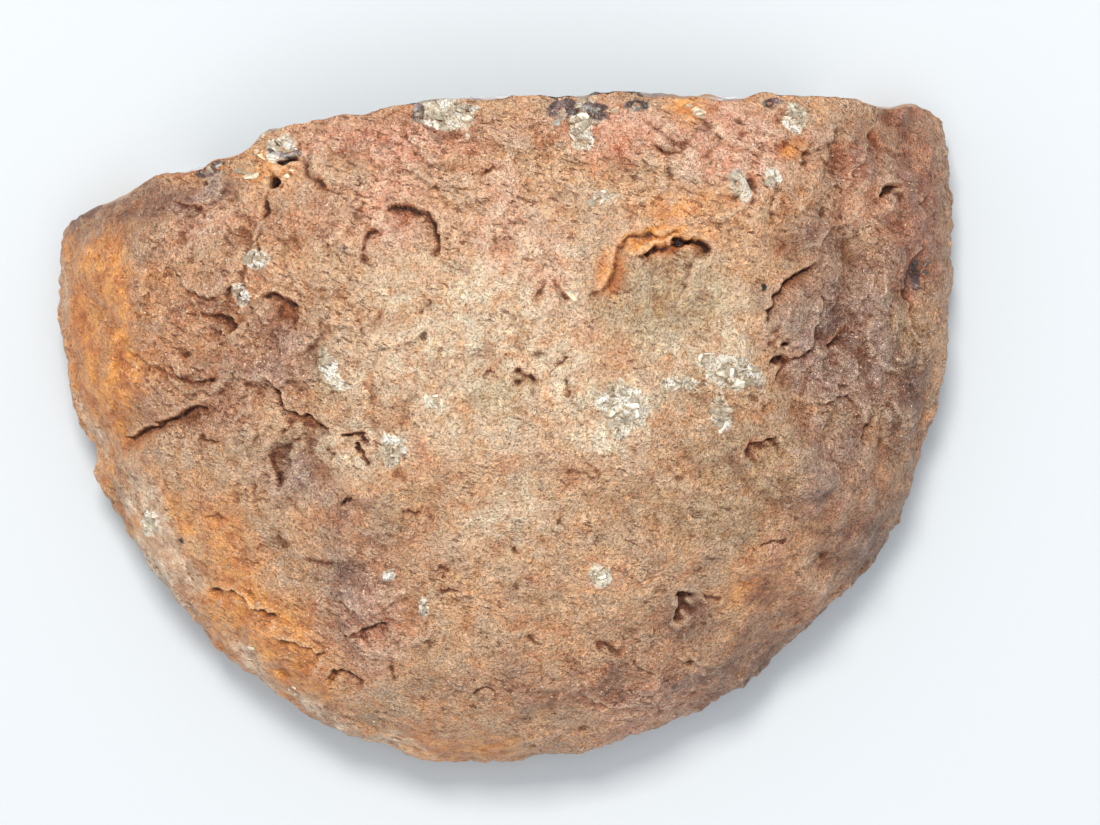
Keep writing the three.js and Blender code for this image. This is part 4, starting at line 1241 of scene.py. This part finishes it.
def make_shards(rind):
    """The chips' shards, standing on the rough surface, in a collection."""
    family = new_family("shards")
    places = nodule_place(rind.data)
    facings = read(rind.data, "vertices", "normal", 3)
    seen_x, seen_y = seen(*places.T)
    for number, (centre_x, centre_y, half_x, half_y, turn, count, tint) in enumerate(CHIPS):
        cos, sin = math.cos(math.radians(turn)), math.sin(math.radians(turn))
        for n in range(count):
            seed = SHARD_SEEDS * number + n
            ring = math.sqrt((n + 0.5) / count) * 0.75
            angle = SHARD_TURN * n + 6.3 * draw(seed, 1, 8)
            across, away = half_x * ring * math.cos(angle), half_y * ring * math.sin(angle)
            x, y = centre_x + across * cos - away * sin, centre_y + across * sin + away * cos
            gap = np.hypot(seen_x - x, seen_y - y) + 10 * (places[:, 2] < 1)
            nearest = int(np.argmin(gap))
            size = (half_x + half_y) / 2 * (0.7 + 0.8 * draw(seed, 2, 8)) / math.sqrt(count)
            centre = places[nearest] - 0.12 * size * facings[nearest]
            add_shard(family, centre, facings[nearest], size, seed, tint)
    return family


def polygon_highest(mesh, name):
    """The highest value of a vertex attribute around each polygon."""
    corners = read(mesh, "loops", "vertex_index").astype(int)
    starts = read(mesh, "polygons", "loop_start").astype(int)
    return np.maximum.reduceat(stored(mesh, name)[corners], starts)


def rind_parts(mesh):
    """Which polygons are worn stone, section or chips."""
    x, y, z = nodule_place(mesh, "polygons", "center").T
    depth = depth_inside(x, y, z)
    broken = np.abs(y - break_face(x, z)) < ON_BREAK
    section = broken | (z < SAWN_Z) | (depth > WALL - 1.5)
    section &= depth > SKIN_DEPTH + 0.8 * noise(x / 3, y / 3, z / 3)
    chip = (polygon_highest(mesh, "skin") < 0.5) & ~broken & (z > SAWN_Z)
    return np.where(section, SECTION, np.where(chip, CHIP, STONE)).astype(np.int32)


def set_materials(mesh, *materials):
    mesh.materials.clear()
    for material in materials:
        mesh.materials.append(material)


def make_rind(beyond):
    """The rind: roughened, coloured, set with shards, hollowed and broken."""
    smooth, faces = dome_grid(0, 0, RIND_CELLS, RIND_RINGS)
    rind = new_object("rough_rind", rind_relief(smooth), faces)
    paint(rind.data, smooth)
    thin_out(rind, RIND_SHARE)
    hollow = hollow_dome("hollow", WALL, UNDER_FLOOR)
    join(rind, make_shards(rind))
    cut(rind, "DIFFERENCE", hollow)
    cut(rind, "DIFFERENCE", beyond)
    discard(hollow)
    mesh = rind.data
    set_materials(mesh, rind_material(), section_material(), chip_material())
    parts = rind_parts(mesh)
    mesh.polygons.foreach_set("material_index", parts)
    store(mesh, "depth", depth_inside(*nodule_place(mesh).T))
    paint_section(mesh)
    finish_mesh(mesh, RIND_SHARP_ANGLE)
    mesh.polygons.foreach_set("use_smooth", parts != CHIP)
    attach(rind, "root")
    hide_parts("rind")


# ---- The crust of crystals ----

# Each set is (count, slimmest radius, how much thicker, shortest prism, how much longer).
CRYSTAL_SETS = [(76, 3.4, 2.4, 1.6, 2.4), (900, 1.0, 1.7, 2.4, 2.6)]
CRYSTAL_SEEDS = 5000
CRYSTAL_ROOT = 1.5
CRYSTAL_POINT = 1.15
CRYSTAL_LEAN = 0.6
LOWEST_LATITUDE = 0.97
CRUST_SHARP_ANGLE = 12


def crystal_mesh(radius, prism, seed):
    """One crystal along +Z from the origin: a six-sided prism and a point with uneven faces."""
    turns = [math.pi / 3 * n for n in range(6)]
    heights = [prism + radius * 0.35 * (draw(seed, n, 5) - 0.5) for n in range(6)]
    points = [(radius * math.cos(t), radius * math.sin(t), 0) for t in turns]
    points += [(radius * math.cos(t), radius * math.sin(t), z) for t, z in zip(turns, heights)]
    lean = [0.35 * radius * (draw(seed, n, 9) - 0.5) for n in (1, 2)]
    points.append((*lean, prism + radius * CRYSTAL_POINT))
    faces = [(5, 4, 3, 2, 1, 0)]
    for n in range(6):
        after = (n + 1) % 6
        faces += [(6 + n, 6 + after, 12), (n, after, 6 + after), (n, 6 + after, 6 + n)]
    return np.array(points), faces


def make_crystals():
    """Every crystal as its own closed mesh, rooted in the wall, in a collection."""
    family = new_family("crystals")
    for number, (count, slimmest, extra, shortest, longer) in enumerate(CRYSTAL_SETS):
        n = np.arange(count)
        latitude = LOWEST_LATITUDE * np.sqrt((n + 0.5) / count)
        roots = dome_points(n * math.pi * (3 - math.sqrt(5)), latitude, WALL + CRUST - CRYSTAL_ROOT)
        for index, (root, facing) in enumerate(zip(roots, -outward(*roots.T))):
            seed = index + CRYSTAL_SEEDS * number
            radius = slimmest + extra * draw(seed, 1, 3)
            prism = shortest + longer * draw(seed, 2, 3)
            points, faces = crystal_mesh(radius, prism, seed)
            turn = math.pi * draw(seed, 3, 3)
            cos, sin = math.cos(turn), math.sin(turn)
            around = np.array([[cos, -sin, 0], [sin, cos, 0], [0, 0, 1]])
            lean = [CRYSTAL_LEAN * (draw(seed, axis, 3) - 0.5) for axis in (4, 5, 6)]
            spin = np.array(turned_up(facing + lean))
            new_object(f"crystal_{seed}", points @ around.T @ spin.T + root, faces, family)
    return family


def make_crust(beyond):
    """The crust: a bed set with crystals, within its seat in the rind."""
    crust = hollow_dome("quartz_crust", WALL + SEAT_GAP, CRUST_LIFT)
    seat = hollow_dome("seat", WALL + SEAT_GAP, CRUST_LIFT)
    hollow = hollow_dome("hollow", WALL + CRUST, UNDER_FLOOR)
    cut(crust, "DIFFERENCE", hollow)
    join(crust, make_crystals())
    cut(crust, "INTERSECT", seat)
    cut(crust, "DIFFERENCE", beyond)
    discard(seat, hollow)
    mesh = crust.data
    set_materials(mesh, crystal_material())
    store(mesh, "depth", depth_inside(*nodule_place(mesh).T))
    finish_mesh(mesh, CRUST_SHARP_ANGLE)
    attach(crust, "root")
    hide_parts("crystal_crust")


# ---- Camera, floor and light, in metres and watts ----

SENSOR_WIDTH_MM = 36
CAMERA_RANGE = 20
FLOOR_HALF = 3.0
# Each light is (name, place, width, power, colour).
LIGHTS = [
    ("key", (-0.07, 0.38, 1.0), 0.24, 9.4, "fffaf4"),
    ("overhead", (0.05, -0.1, 1.3), 0.8, 6.4, "faf9fb"),
    ("fill", (-0.8, -0.75, 0.8), 0.6, 0.8, "fff8ee"),
]
ROOM_COLOUR = "f2f7fb"
ROOM_STRENGTH = 0.72


def make_camera():
    """Looks straight down from the eye's place."""
    data = bpy.data.cameras.new("camera")
    data.sensor_width = SENSOR_WIDTH_MM
    data.lens = SENSOR_WIDTH_MM * (EYE_HEIGHT - FOCUS_HEIGHT) / VIEW_WIDTH
    data.clip_end = CAMERA_RANGE
    camera = add_object("camera", data)
    camera.location = np.array((EYE_X, EYE_Y + AXIS_Y, EYE_HEIGHT)) * MM
    bpy.context.scene.camera = camera


def make_floor():
    mesh = bpy.data.meshes.new("floor")
    corners = [(-1, -1), (1, -1), (1, 1), (-1, 1)]
    mesh.from_pydata([(x * FLOOR_HALF, y * FLOOR_HALF, 0) for x, y in corners], [], [(0, 1, 2, 3)])
    mesh.materials.append(floor_material())
    floor = add_object("floor", mesh)


def make_light(name, place, width, power, colour):
    """A square lamp that faces the origin."""
    data = bpy.data.lights.new(name, "AREA")
    data.size = width
    data.energy = power
    data.color = linear(colour)[:3]
    light = add_object(name, data)
    light.location = place
    light.rotation_euler = (-Vector(place)).to_track_quat("-Z", "Y").to_euler()


def make_room_light():
    """An even, faintly blue light from all around."""
    world = bpy.data.worlds.new("soft_room")
    world.use_nodes = True
    background = world.node_tree.nodes["Background"]
    background.inputs["Color"].default_value = linear(ROOM_COLOUR)
    background.inputs["Strength"].default_value = ROOM_STRENGTH
    bpy.context.scene.world = world


make_camera()
make_floor()
for light in LIGHTS:
    make_light(*light)
make_room_light()
bpy.context.scene.view_settings.view_transform = "Standard"
beyond_break = beyond_break_object()
make_rind(beyond_break)
make_crust(beyond_break)
discard(beyond_break)
